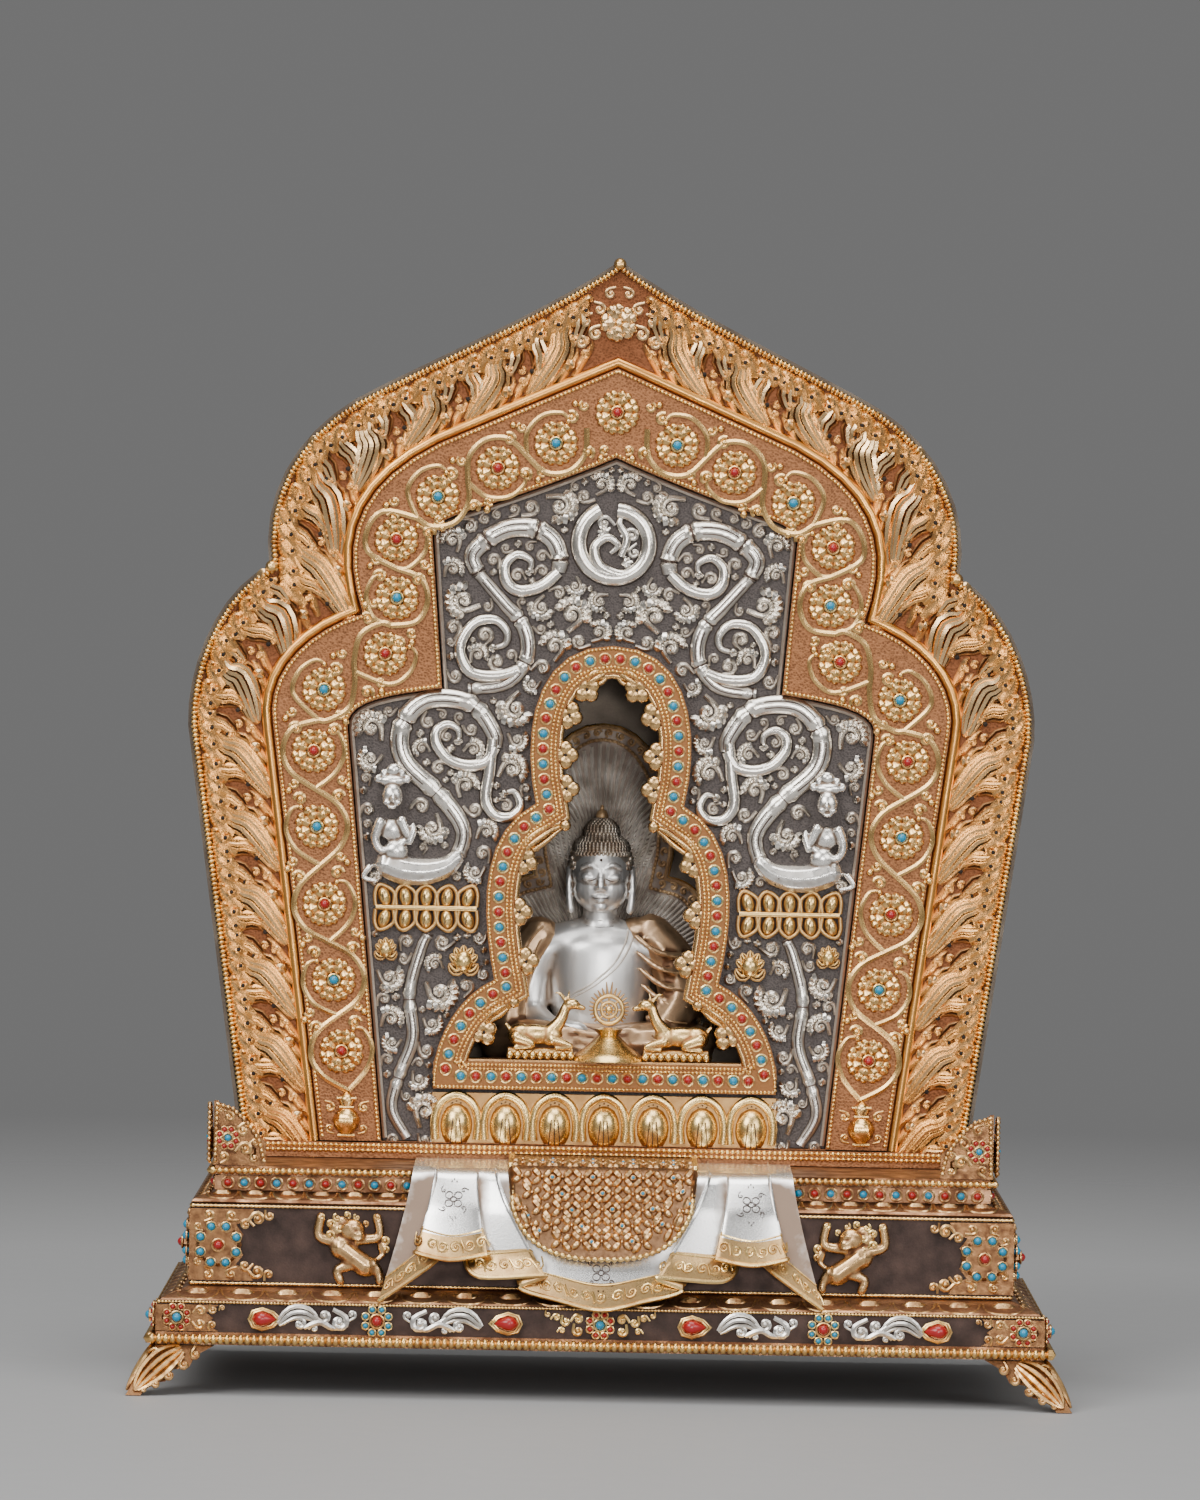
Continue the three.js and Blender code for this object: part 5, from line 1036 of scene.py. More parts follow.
    robeEggs = [
        egg(0, 2, 111, 34, 15, 8), egg(0, 5.2, 128, 16.5, 10.6, 16), egg(14, 4.0, 147, 8, 7.6, 5.4, (0, 22, 0)), egg(-20, 4.4, 145.6, 7.0, 7.8, 6.6, (0, -25, 0))]
    robeLimbs = [
        limb([(-20, 1, 146.5), (-25.5, -1.5, 139), (-28.6, -3, 128), (-29.5, -4, 117)], [6.4, 6.2, 5.6, 6.2]),
        limb([(5, -11, 111), (20, -11, 112), (33, -2, 111)], [6, 7.2, 6.8]),
        limb([(-5, -11, 111), (-20, -11, 112), (-33, -2, 111)], [6, 7.2, 6.8]),
        limb([(17, 3, 147), (24.5, 2.5, 138), (27.5, 0, 126), (22, -7, 116)], [7.4, 8.2, 8.2, 6.6]),
        limb([(-21.5, 6, 147), (-28, 5, 136), (-29.5, 3, 124)], [5.6, 5.8, 5.2])]
    for fold in range(7):
        up = 147 - fold * 5.4
        robeLimbs.append(limb([(11.5 + fold * 0.9, -4.6, up), (20 + fold * 0.6, -7.4 + fold * 0.2, up - 5.5), (31.5, -3.6, up - 6.5)], [0.8, 1.25, 0.8]))
    for fold in range(5):
        robeLimbs.append(limb([(-28 + fold * 4, -15, 107 + fold * 2.4), (0, -17.5, 104.8 + fold * 2.4), (28 - fold * 4, -15, 107 + fold * 2.4)], [1, 1.2, 1]))
    robe = carved("robe", robeEggs, robeLimbs, 0.84, "robe", 2)
    hem = Relief("haloRim", 6)
    silverHem = Relief("ray", 6)
    for shift in (0, 2.0):
        points = [(9.5 + shift, 149), (8.4 + shift, 144), (4.4 + shift, 137), (-3 + shift, 130.5), (-11.5 + shift, 125.5)]
        silverHem.line(smooth([onBody(trunk, a, c, 0.15) for a, c in points], 5), 0.38)
    for fold in range(7):
        up = 146 - fold * 5.4
        points = [(12.5 + fold * 0.9, up + 1), (20 + fold * 0.6, up - 4.6), (29.5, up - 6.2)]
        hem.line(smooth([onBody(robe, a, c, 0.05) for a, c in points], 5), 0.34)
    for shift in (0, 3.4):
        points = [(-15.5 - shift, 150.5 - shift * 0.3), (-20 - shift, 144), (-22.6 - shift, 134), (-24 - shift, 124)]
        hem.line(smooth([onBody(robe, a, c, 0.1) for a, c in points], 5), 0.4)
    finished("seatedFigure", [flesh, trunk, lines.made(), hair, tips.made(), knob.made(), robe, hem.made(), silverHem.made()], ["buddha"])
    print("figure done")


def makeHalo():
    across = figure["across"]
    foot = 1.5
    top = 144
    bodyTop = 88
    half = halfLine((36, foot), [
        [(40, foot + (bodyTop - foot) * 0.55)],
        [(40, bodyTop - 4), (40 * 0.86, bodyTop + 3), (22 * 1.05, bodyTop + 5)],
        [(22 * 1.3, bodyTop + 24), (22 * 0.95, top), (0, top)]], 10)
    outline = bothHalves(half)
    plate = sheetOf([[(p.x + across, p.y + ghauBottom) for p in outline]], -1, 1, "haloBack")
    plate.location = (0, 39.8, 0)
    only(plate)
    bpy.ops.object.transform_apply(location=True, rotation=True, scale=True)
    rays = Relief("ray", 5)
    rim = Relief("haloRim", 6)
    edge = Relief("trim", 6)

    def place(a, out, up):
        return Vector((a + across, out, up + ghauBottom))

    inner = [p for p in inset(outline, 6.4)]
    for centre, first, last, count, start in (((0, 96), 0.0, 3.14, 46, 9), ((0, 52), -0.1, 3.24, 84, 20)):
        for ray in range(count):
            angle = first + (last - first) * ray / (count - 1)
            direction = Vector((math.cos(angle), math.sin(angle)))
            reach = start
            while reach < 60 and insideOf(inner, numpy.array([tuple(Vector(centre) + direction * (reach + 1))]))[0]:
                reach += 1
            if reach < start + 2:
                continue
            points = []
            for step in range(7):
                share = start + (reach - start) * step / 6
                wave = 0.3 * math.sin(step * 1.9)
                points.append(place(centre[0] + share * direction.x - wave * direction.y, 38.5, centre[1] + share * direction.y + wave * direction.x))
            rays.line(points, [0.32 + 0.011 * (reach - start) * step / 6 for step in range(7)])
    for width, size in ((1.4, 0.8), (5.6, 0.6)):
        rim.line([place(p.x, 38.4, p.y) for p in inset(outline, width)], size)
    edge.line([place(p.x, 38.6, p.y) for p in inset(outline, 0.4)], 0.4)
    rim.beads([place(p.x, 38.0, p.y) for p in inset(outline, 5.6)], 1.5, 0.7)
    scroll = Track([place(p.x, 38.3, p.y) for p in inset(outline, 3.2)])
    for number, distance in enumerate(scroll.places(4.0)):
        point = scroll.at(distance)
        curl(rim, lambda a, out, up: Vector((a, out, up)), (point.x, point.z), 1.7, number * 2.1, 1 if number % 2 else -1, 37.9, 0.55, 1.0, False)
    finished("haloPlate", [plate, rays.made(), rim.made(), edge.made()], ["aureole"])
    print("halo done")


def makeDeerAndWheel():
    for name, hand in (("left", -1), ("right", 1)):
        middle = 1 + hand * 22.4
        foot = 106.6

        def at(a, b, c):
            return Vector((middle - hand * a * 22, -10.2 + b * 22, foot + c * 22))

        eggs = [(at(-0.1, 0, 0.37), (7.6, 3.0, 3.4)), (at(-0.3, 0, 0.36), (4.4, 3.2, 3.8)), (at(0.16, 0, 0.36), (3.8, 2.9, 3.6)),
                (at(0.46, -0.02, 0.84), (2.6, 1.7, 1.8))]
        limbs = [
            ([at(0.16, 0, 0.42), at(0.3, 0, 0.6), at(0.37, 0, 0.8)], [2.9, 2.0, 1.6]),
            ([at(0.44, 0, 0.84), at(0.56, 0, 0.8), at(0.64, 0, 0.78)], [1.5, 1.1, 0.8]),
            ([at(0.36, 0, 0.9), at(0.28, 0.02, 0.99), at(0.2, 0.03, 1.0)], [0.7, 0.6, 0.3]),
            ([at(0.4, 0, 0.92), at(0.42, 0, 1.04)], [0.5, 0.3]),
            ([at(0.18, -0.09, 0.3), at(0.4, -0.1, 0.24), at(0.44, -0.1, 0.19), at(0.24, -0.1, 0.18)], [1.7, 1.1, 0.9, 0.8]),
            ([at(-0.36, -0.1, 0.34), at(-0.16, -0.12, 0.26), at(-0.14, -0.12, 0.2), at(-0.38, -0.1, 0.18)], [2.2, 1.4, 0.9, 0.8]),
            ([at(-0.46, 0, 0.44), at(-0.52, 0, 0.52)], [1.0, 0.6])]
        deer = carved("deerBody", eggs, limbs, 0.42, "carvedGold", 2)
        mat = Relief("gold", 8)
        for petal in range(9):
            mat.ball((middle + (petal - 4) * 2.5, -12.2, foot + 1.4), 1.3, 1.2)
            mat.ball((middle + (petal - 4) * 2.5, -8.4, foot + 1.4), 1.3, 1.2)
        mat.line([(middle - 10.6, -10.2, foot + 2.4), (middle + 10.6, -10.2, foot + 2.4)], 1.6)
        mat.line([(middle - 11, -10.2, foot + 0.9), (middle + 11, -10.2, foot + 0.9)], 1.0)
        finished("deer_" + name + "_carved", [deer, mat.made()], ["deer_" + name])
    wheel = Relief("gold", 8)
    foot = 106.6
    hub = 123.4
    put = side(0)
    levels = [(0, 6.2), (1.2, 6.0), (2.6, 5.4), (5.2, 4.2), (7.4, 3.2), (8.4, 2.6), (9.2, 3.0), (10.4, 3.4), (11.0, 2.4)]
    wheel.line([(1, -10.2, foot + up) for up, _ in levels], [size * (0.65 + 0.22 * size) for _, size in levels])
    for radius, tube in ((4.6, 0.75), (2.5, 0.6)):
        ringAt(wheel, put, (1, hub), radius, tube, 11.4, 20)
    wheel.ball((1, -11.6, hub), 1.4)
    for spoke in range(8):
        angle = math.pi * spoke / 4
        start = put(1 + 1.4 * math.cos(angle), 11.3, hub + 1.4 * math.sin(angle))
        wheel.line([start, put(1 + 4.6 * math.cos(angle), 11.3, hub + 4.6 * math.sin(angle))], 0.42)
    for ray in range(22):
        angle = math.pi * (-0.22 + 1.44 * ray / 21)
        reach = 6.6 + 0.5 * math.sin(angle) + (2.2 if abs(angle - math.pi / 2) < 0.2 else 0.6 * max(0, math.sin(angle)))
        start = put(1 + 5.0 * math.cos(angle), 10.9, hub + 5.0 * math.sin(angle))
        wheel.line([start, put(1 + reach * math.cos(angle), 10.9, hub + reach * math.sin(angle))], [0.5, 0.16])
    finished("wheelAndStand", [wheel.made()], ["dharma_wheel"])
    print("deer and wheel done")


# Throne base

def basePath(out, height):
    x, y = platformHalf[0] + out, platformHalf[1] + out
    return [Vector((-x, -y, height)), Vector((x, -y, height)), Vector((x, y, height)), Vector((-x, y, height))]


def tierBody(profile, finishName):
    out, height = profile[0]
    bpy.ops.object.select_all(action="DESELECT")
    bpy.ops.mesh.primitive_plane_add(size=2, location=(0, 0, height))
    obj = bpy.context.view_layer.objects.active
    obj.scale = (platformHalf[0] + out, platformHalf[1] + out, 1)
    bpy.ops.object.transform_apply(location=True, rotation=True, scale=True)
    bpy.ops.object.mode_set(mode="EDIT")
    bpy.ops.mesh.select_all(action="SELECT")
    bpy.ops.mesh.delete(type="ONLY_FACE")
    bpy.ops.mesh.select_all(action="SELECT")
    for (lastOut, lastHeight), (out, height) in zip(profile, profile[1:]):
        bpy.ops.mesh.extrude_edges_move(TRANSFORM_OT_translate={"value": (0, 0, height - lastHeight)})
        wide = (platformHalf[0] + out) / (platformHalf[0] + lastOut)
        deep = (platformHalf[1] + out) / (platformHalf[1] + lastOut)
        bpy.ops.transform.resize(value=(wide, deep, 1), center_override=(0, 0, 0))
    bpy.ops.mesh.select_all(action="SELECT")
    bpy.ops.mesh.normals_make_consistent(inside=False)
    bpy.ops.object.mode_set(mode="OBJECT")
    obj.data.materials.append(finish[finishName])
    return obj


def makeBase():
    profile = [
        (13.8, 17.4), (13.8, 16.0), (16.4, 16.0), (16.4, 20.0), (15.2, 20.0), (15.2, 30.2), (14.6, 30.8), (13.0, 31.6), (11.0, 32.4),
        (9.0, 33.0), (7.2, 33.9), (5.2, 34.6), (5.2, 60.9), (6.0, 61.6), (5.2, 62.4), (2.6, 63.4), (-0.4, 64.2), (-2.3, 64.8),
        (-2.3, 70.0), (-1.25, 70.0), (-1.25, 72.8), (-40.0, 72.8)]
    body = tierBody(profile, "bronze")
    fields = finish["field"]
    body.data.materials.append(fields)
    for polygon in body.data.polygons:
        upright = abs(polygon.normal.z) < 0.1
        if upright and (20.4 < polygon.center.z < 29.8 or 35 < polygon.center.z < 60.5):
            polygon.material_index = 1
    top = sheetOf([[(-88, -60), (88, -60), (88, 60), (-88, 60)]], -0.2, 0.2, "bronze")
    top.rotation_euler = (math.pi / 2, 0, 0)
    top.location = (0, 0, 72.58)
    petals = Relief("wearAndShade", 6)
    for out, height, pitch, size, rise in ((10.6, 31.8, 14.5, 1.9, 1.0), (1.6, 63.6, 10.8, 1.4, 0.8)):
        for turn in range(4):
            put = side(turn)
            half = platformHalf[0] if turn % 2 == 0 else platformHalf[1]
            level = (platformHalf[1] if turn % 2 == 0 else platformHalf[0]) + out
            count = round(2 * (half + out) / pitch)
            step = 2 * (half + out) / count
            for petal in range(count):
                across = -(half + out) + (petal + 0.5) * step
                petals.ball(put(across, level - 0.6, height + rise * 0.4), size, pitch * 0.28 / size, put(1, 0, 0) - put(0, 0, 0), 8)
                arch = [(across - step * 0.47, -2.2), (across - step * 0.4, 2.2), (across - step * 0.16, 4.0), (across + step * 0.16, 4.0), (across + step * 0.4, 2.2), (across + step * 0.47, -2.2)]
                scale = pitch / 14.5
                line = [put(a, level + down * scale * 0.95 + 0.2, height + rise * 0.2 - down * scale * 0.38) for a, down in arch]
                petals.line(smooth(line, 3), 0.5 * scale + 0.1)
    finished("throneBody", [body, top, petals.made()], ["base_body"])

    for name, node, out, height, pitch, size in (
            ("platformBeadWire", "platform_beads", 0.3, 71.4, 2.05, 1.25), ("waistTopBeadWire", "waist_top_beads", 6.1, 60.3, 1.45, 0.6),
            ("waistBottomBeadWire", "waist_bottom_beads", 6.1, 35.2, 1.45, 0.6), ("blockBeadWire", "block_beads", 16.0, 29.7, 1.1, 0.5),
            ("bottomBeadWire", "bottom_beads", 18.5, 18.0, 2.2, 1.85)):
        wire = Relief("bead", 6)
        wire.beads(basePath(out, height), pitch, size, 0.55, True)
        finished(name, [wire.made()], [node])

    strip = tierBody([(-2.0, 65.1), (-1.1, 65.1), (-1.1, 69.7), (-2.0, 69.7), (-2.0, 65.1)], "bronze")
    bezels = Relief("wearAndShade", 6)
    stones = {"turquoise": Relief("turquoise", 8), "coral": Relief("coral", 8)}
    for turn in range(4):
        put = side(turn)
        half = platformHalf[0] if turn % 2 == 0 else platformHalf[1]
        level = (platformHalf[1] if turn % 2 == 0 else platformHalf[0]) - 1.1
        count = round((2 * half - 6) / 5.3)
        for number in range(count):
            across = (number - (count - 1) / 2) * 5.3
            if turn == 0 and abs(across) < 62:
                continue
            ringAt(bezels, put, (across, 67.4), 1.9, 0.42, level + 0.3, 10)
            stones["turquoise" if number % 2 else "coral"].ball(put(across, level + 0.3, 67.4), 1.3, 1.0, put(0, 1, 0) - put(0, 0, 0), 7)
    finished("stoneStrip", [strip, bezels.made(), stones["turquoise"].made(), stones["coral"].made()], ["stone_band"])
    print("base done")


# One clump of flame on the border; at(out, up) gives a place by share of the way out and millimetres up
def flameUnit(flame, eye, at, heading):
    strands(flame, onFaceOut, [at(0.0, -9), at(0.2, -2), at(0.44, 4), at(0.68, 5), at(0.97, 11)],
            9.9, flameLook["main"], 7, 3, rise=2.2)
    strands(flame, onFaceOut, [at(0.2, -4.5), at(0.5, -2.8), at(0.74, -3.8), at(0.98, 1.4)],
            10.0, flameLook["second"], 5, 2, rise=1.8)
    strands(flame, onFaceOut, [at(0.4, 8.5), at(0.62, 12), at(0.82, 12.4), at(0.98, 17)],
            9.9, flameLook["third"], 4, 2, rise=1.7)
    # Hooked tips along the rim, each with its drilled eye, drawn as a dark ball of painted shade
    for up in (-8.2, -3.6, 3.0, 8.4, 13.2):
        hook = [at(0.66, up - 3.6), at(0.80, up - 2.2), at(0.92, up + 0.6), at(0.95, up + 3.0), at(0.88, up + 3.4)]
        tapered(flame, onFaceOut, hook, 11.1, 2.2, 0.5, 0.25, 3)
        hole = at(0.80, up + 1.4)
        curl(flame, onFaceOut, hole, 1.9, heading + 2.2, 1, 11.8, 0.9, 0.8, False)
        eye.ball(onFaceOut(hole.x, 12.7, hole.y), 0.72, steps=4)
    # Stems and leaves next to the cove
    for up in (-5.5, 0.5, 6.0, 11.5):
        tapered(flame, onFaceOut, [at(-0.04, up - 4), at(0.10, up - 0.8), at(0.24, up + 3.2), at(0.33, up + 4.2)], 10.3, 1.5, 0.7, 0.2, 3)
    bud = at(0.15, 6.6)
    flame.ball(onFaceOut(bud.x, 11.3, bud.y), 1.7, 1.4, onFaceOut(math.cos(heading + 0.6), 0, math.sin(heading + 0.6)) - onFaceOut(0, 0, 0))
    for out, up, size, turn, hand in ((0.20, 12.2, 1.9, 3.5, -1), (0.38, 13.0, 1.6, 0.4, 1), (0.50, 9.4, 1.9, 2.8, 1), (0.28, -5.6, 1.7, 3.4, -1)):
        curl(flame, onFaceOut, at(out, up), size, heading + turn, hand, 11.0, size * 0.36, 0.95, False)
    # more drilled eyes as dark balls of painted shade
    for out, up in ((0.06, 9.8), (0.56, 9.0), (0.34, -6.8)):
        hole = at(out, up)
        eye.ball(onFaceOut(hole.x, 10.9, hole.y), 0.8, steps=4)


def insideOf(outline, spots):
    hit = numpy.zeros(len(spots), bool)
    for place, point in enumerate(outline):
        last = outline[place - 1]
        if abs(point.y - last.y) < 1e-9:
            continue
        crossing = (last.x - point.x) * (spots[:, 1] - point.y) / (last.y - point.y) + point.x
        hit ^= ((point.y > spots[:, 1]) != (last.y > spots[:, 1])) & (spots[:, 0] < crossing)
    return hit


# Circles that fill the free room of the right half, from the widest gap down
def freeCircles(taken, widest, least):
    spots = numpy.array([(x, y) for x in numpy.arange(0.7, 87, 0.8) for y in numpy.arange(6, 232, 0.8)])
    room = spots[:, 0] - 0.2
    for x, y, radius in taken:
        room = numpy.minimum(room, numpy.hypot(spots[:, 0] - x, spots[:, 1] - y) - radius)
    room[~insideOf(panelLine, spots) | insideOf(frameLine, spots)] = -1
    room[(spots[:, 0] < 59) & (spots[:, 1] < 24.5)] = -1
    circles = []
    while room.max() > least:
        best = int(room.argmax())
        radius = min(float(room[best]), widest)
        x, y = (float(value) for value in spots[best])
        nearest = min(taken, key=lambda spot: math.hypot(spot[0] - x, spot[1] - y) - spot[2])
        circles.append((x, y, radius, math.atan2(nearest[1] - y, nearest[0] - x)))
        room = numpy.minimum(room, numpy.hypot(spots[:, 0] - x, spots[:, 1] - y) - radius)
    return circles


# The nearest point of a carved body behind a place seen from the front
def onBody(carving, across, up, lift=0.0):
    hit, point, _, _ = carving.ray_cast(Vector((figure["across"] + across, -60, up)), Vector((0, 1, 0)))
    return point + Vector((0, -lift, 0)) if hit else Vector((figure["across"] + across, figure["depth"], up))


# Hanging cloth: each fold is [across at the top, across at the hem, how far proud, height of the hem]
foldHalf = [
    (-61.6, -71.9, 0.8, 31.2), (-54.6, -52.4, 0, 45.3), (-54.2, -60.4, 3, 47), (-48, -49, 5.6, 45), (-41.6, -36.9, 5.6, 47),
    (-40, -44, 0.6, 45.3), (-37, -39.2, 2, 39.5), (-34.4, -18, 5, 40.5), (-33.4, -26.2, 1, 36.3), (-18, -13, 2.4, 32.6), (0, 0, 3.2, 30)]
foldColumns = smooth([Vector(f) for f in foldHalf + [(-t, -h, p, z) for t, h, p, z in reversed(foldHalf[:-1])]], 8)
clothTop = 73.6
clothBacks = [(72.8, 62.6), (60.9, 67.1), (44.9, 69.5), (30.2, 76.3)]


# How far out the base stands at a height, where cloth can lie on it
def clothBack(height):
    if height >= clothBacks[0][0]:
        return clothBacks[0][1]
    for (high, near), (low, far) in zip(clothBacks, clothBacks[1:]):
        if height >= low:
            return near + (far - near) * (high - height) / (high - low)
    return clothBacks[-1][1]


def clothColumn(share):
    mark = min(max(share, 0.0), 1.0) * (len(foldColumns) - 1)
    place = min(int(mark), len(foldColumns) - 2)
    return foldColumns[place].lerp(foldColumns[place + 1], mark - place)


def clothAt(share, down):
    top, hem, proud, low = clothColumn(share)
    if down < 0.28:
        return front(top, 14.6 + 46 * down / 0.28, clothTop)
    fall = (down - 0.28) / 0.72
    height = clothTop + (low - clothTop) * fall
    across = top + (hem - top) * fall ** 1.25
    roll = min(1.0, fall / 0.05)
    return front(across, 60.6 + (clothBack(height) - 60.6) * roll + max(0.0, proud) * fall ** 0.8 + 0.3 * roll, height)


apronHalf = 30
apronTop = 75.0


def apronLow(share):
    return 72.8 - 27 * max(0.0, 1 - abs(2 * share - 1) ** 2.6) ** 0.385


def apronAt(share, down):
    across = apronHalf * (2 * share - 1)
    if down < 0.3:
        return front(across, 14.8 + 47 * down / 0.3, apronTop)
    fall = (down - 0.3) / 0.7
    height = apronTop + (apronLow(share) - apronTop) * fall
    roll = min(1.0, fall / 0.08)
    return front(across, 61.8 + (clothBack(height) + 1.9 - 61.8) * roll + 3.2 * fall ** 0.8, height)


# Draws on a surface round one of its places: across, out of it, up it
def onSurface(surface, share, down):
    centre = surface(share, down)
    along = (surface(share + 0.004, down) - surface(share - 0.004, down)).normalized()
    upward = (surface(share, down - 0.02) - centre).normalized()
    outward = along.cross(upward)
    if outward.y > 0:
        outward = -outward
    return lambda a, out, b: centre + along * a + upward * b + outward * out


def sheetFrom(surface, columns, rows, thickness, finishes, chosen, cavity):
    bpy.ops.object.select_all(action="DESELECT")
    bpy.ops.mesh.primitive_grid_add(x_subdivisions=columns, y_subdivisions=rows, size=2)
    obj = bpy.context.view_layer.objects.active
    obj.data.materials.clear()
    for name in finishes:
        obj.data.materials.append(finish[name])
    marks = [((v.co.x + 1) / 2, (1 - v.co.y) / 2) for v in obj.data.vertices]
    for polygon in obj.data.polygons:
        spots = [marks[v] for v in polygon.vertices]
        polygon.material_index = chosen(sum(s[0] for s in spots) / len(spots), sum(s[1] for s in spots) / len(spots))
    attribute = obj.data.attributes.new("cavity", "FLOAT", "POINT")
    for vertex, (share, down) in zip(obj.data.vertices, marks):
        vertex.co = surface(share, down)
        attribute.data[vertex.index].value = cavity(share, down)
    apply(obj, "SOLIDIFY", thickness=thickness, offset=-1.0)
    only(obj)
    bpy.ops.object.mode_set(mode="EDIT")
    bpy.ops.mesh.select_all(action="SELECT")
    bpy.ops.mesh.normals_make_consistent(inside=False)
    bpy.ops.object.mode_set(mode="OBJECT")
    bpy.ops.object.shade_smooth_by_angle(angle=math.radians(50))
    return obj


def makeCloth():
    borderWidth = 7.6

    def border(share, down):
        low = clothColumn(share)[3]
        return 1 if down > 0.28 and (1 - (down - 0.28) / 0.72) * (clothTop - low) < borderWidth else 0

    # cavity value for the drape's colour: darker low in the folds that stand less proud, partly patina, partly painted
    # shade in the creases
    def bright(share, down):
        proud = clothColumn(share)[2]
        fall = max(0.0, (down - 0.28) / 0.72)
        return 0.62 - min(1.0, fall * 8) * (0.52 - 0.5 * min(1.0, max(0.0, proud) / 3.2))

    cloth = sheetFrom(clothAt, 170, 22, 0.7, ["cloth", "clothBorder"], border, bright)
    drawn = Relief("engraving", 4)
    lip = Relief("trim", 6)
    hem = [clothAt(share / 300, 1.0) for share in range(301)]
    lip.line(hem, 0.75)
    lip.line([clothAt(share / 300, 1 - 0.72 * borderWidth / (clothTop - clothColumn(share / 300)[3])) + Vector((0, -0.1, 0)) for share in range(301)], 0.3)
    track = Track(hem)
    for number, distance in enumerate(track.places(4.6)):
        share = bisect_right(track.marks, distance) / 300
        down = 1 - 0.72 * 3.9 / (clothTop - clothColumn(share)[3])
        put = onSurface(clothAt, share, down)
        curl(lip, put, (0, 0), 2.2, number % 2 * math.pi, 1, 0.15, 0.42, 1.3)
    for share, down in ((0.15, 0.52), (0.85, 0.52), (0.5, 0.81)):
        put = onSurface(clothAt, share, down)
        ringAt(drawn, put, (0, 0), 0.9, 0.16, 0.15, 10)
        for turn in range(4):
            angle = math.pi / 4 + turn * math.pi / 2
            ringAt(drawn, put, (2.1 * math.cos(angle), 2.1 * math.sin(angle)), 1.25, 0.16, 0.15, 10)
            curl(drawn, put, (4.6 * math.cos(angle), 4.6 * math.sin(angle)), 1.1, angle, 1, 0.12, 0.16, 0.8)
        for dot in (-1, 0, 1):
            drawn.ball(put(dot * 0.8, 0.2, -6.4 - (dot == 0) * 0.9), 0.26, steps=3)
            drawn.ball(put(dot * 0.8, 0.2, 6.4 + (dot == 0) * 0.9), 0.26, steps=3)
    finished("silverDrape", [cloth, drawn.made(), lip.made()], ["drape"])

    panel = sheetFrom(apronAt, 60, 30, 0.8, ["apron"], lambda share, down: 0, lambda share, down: 0.5)
    flowers = Relief("brocade", 6)
    studs = Relief("turquoise", 6)
    beads = Relief("trim", 6)
    spots = []
    for row in range(6):
        for column in range(-6, 7):
            across = column * 6.55 + (row % 2) * 3.27
            share = (across / apronHalf + 1) / 2
            height = 71.6 - row * 5.0
            if abs(across) < 27 and height > apronLow(share) + 3.2:
                spots.append((share, 0.3 + 0.7 * (apronTop - height) / (apronTop - apronLow(share)), (column + row // 2) % 2, row))
    for row in range(3):
        for column in range(-4, 5):
            across = column * 6.55 + (row % 2) * 3.27
            if abs(across) < 28:
                spots.append(((across / apronHalf + 1) / 2, 0.28 - row * 0.055, (column + row) % 2, row))
    for share, down, studded, row in spots:
        put = onSurface(apronAt, share, down)
        for turn in range(4):
            angle = math.pi / 4 + turn * math.pi / 2
            axis = put(math.cos(angle), 0, math.sin(angle)) - put(0, 0, 0)
            flowers.ball(put(2.55 * math.cos(angle), 0.05, 2.05 * math.sin(angle)), 1.3, 1.55, axis, 5)
        flowers.ball(put(0, 0.7, 0), 0.55, steps=4)
        if studded:
            ringAt(flowers, put, (3.27, 0), 0.72, 0.25, 0.7, 8)
            studs.ball(put(3.27, 0.7, 0), 0.62, steps=4)
    edge = [apronAt(0.0, 0.0)] + [apronAt(0.0, d / 10) for d in range(1, 4)] + [apronAt(share / 60, 1.0) for share in range(1, 60)]
    edge += [apronAt(1.0, d / 10) for d in (3, 2, 1, 0)]
    beads.beads([p + Vector((0, -0.3, 0.1)) for p in edge], 2.1, 0.95, 0.5)
    finished("brocadeApron", [panel, flowers.made(), studs.made(), beads.made()], ["brocade_apron"])
    print("cloth done")


# A stone with a ring of smaller stones round it, each in its bezel
def stoneFlower(bezels, stones, put, centre, out, ring, size, heart, middle, around, lift=0.0):
    axis = put(0, 1, 0) - put(0, 0, 0)
    ringAt(bezels, put, centre, heart + 0.45, 0.42, out + lift, 12)
    stones[middle].ball(put(centre[0], out + lift + 0.1, centre[1]), heart, 1.0, axis, 7)
    for number in range(8):
        angle = math.pi * (number + 0.5) / 4
        spot = (centre[0] + ring * math.cos(angle), centre[1] + ring * math.sin(angle))
        ringAt(bezels, put, spot, size + 0.32, 0.34, out, 8)
        stones[around].ball(put(spot[0], out + 0.1, spot[1]), size, 1.0, axis, 6)


def newStones():
    return {"turquoise": Relief("turquoise", 8), "coral": Relief("coral", 8)}


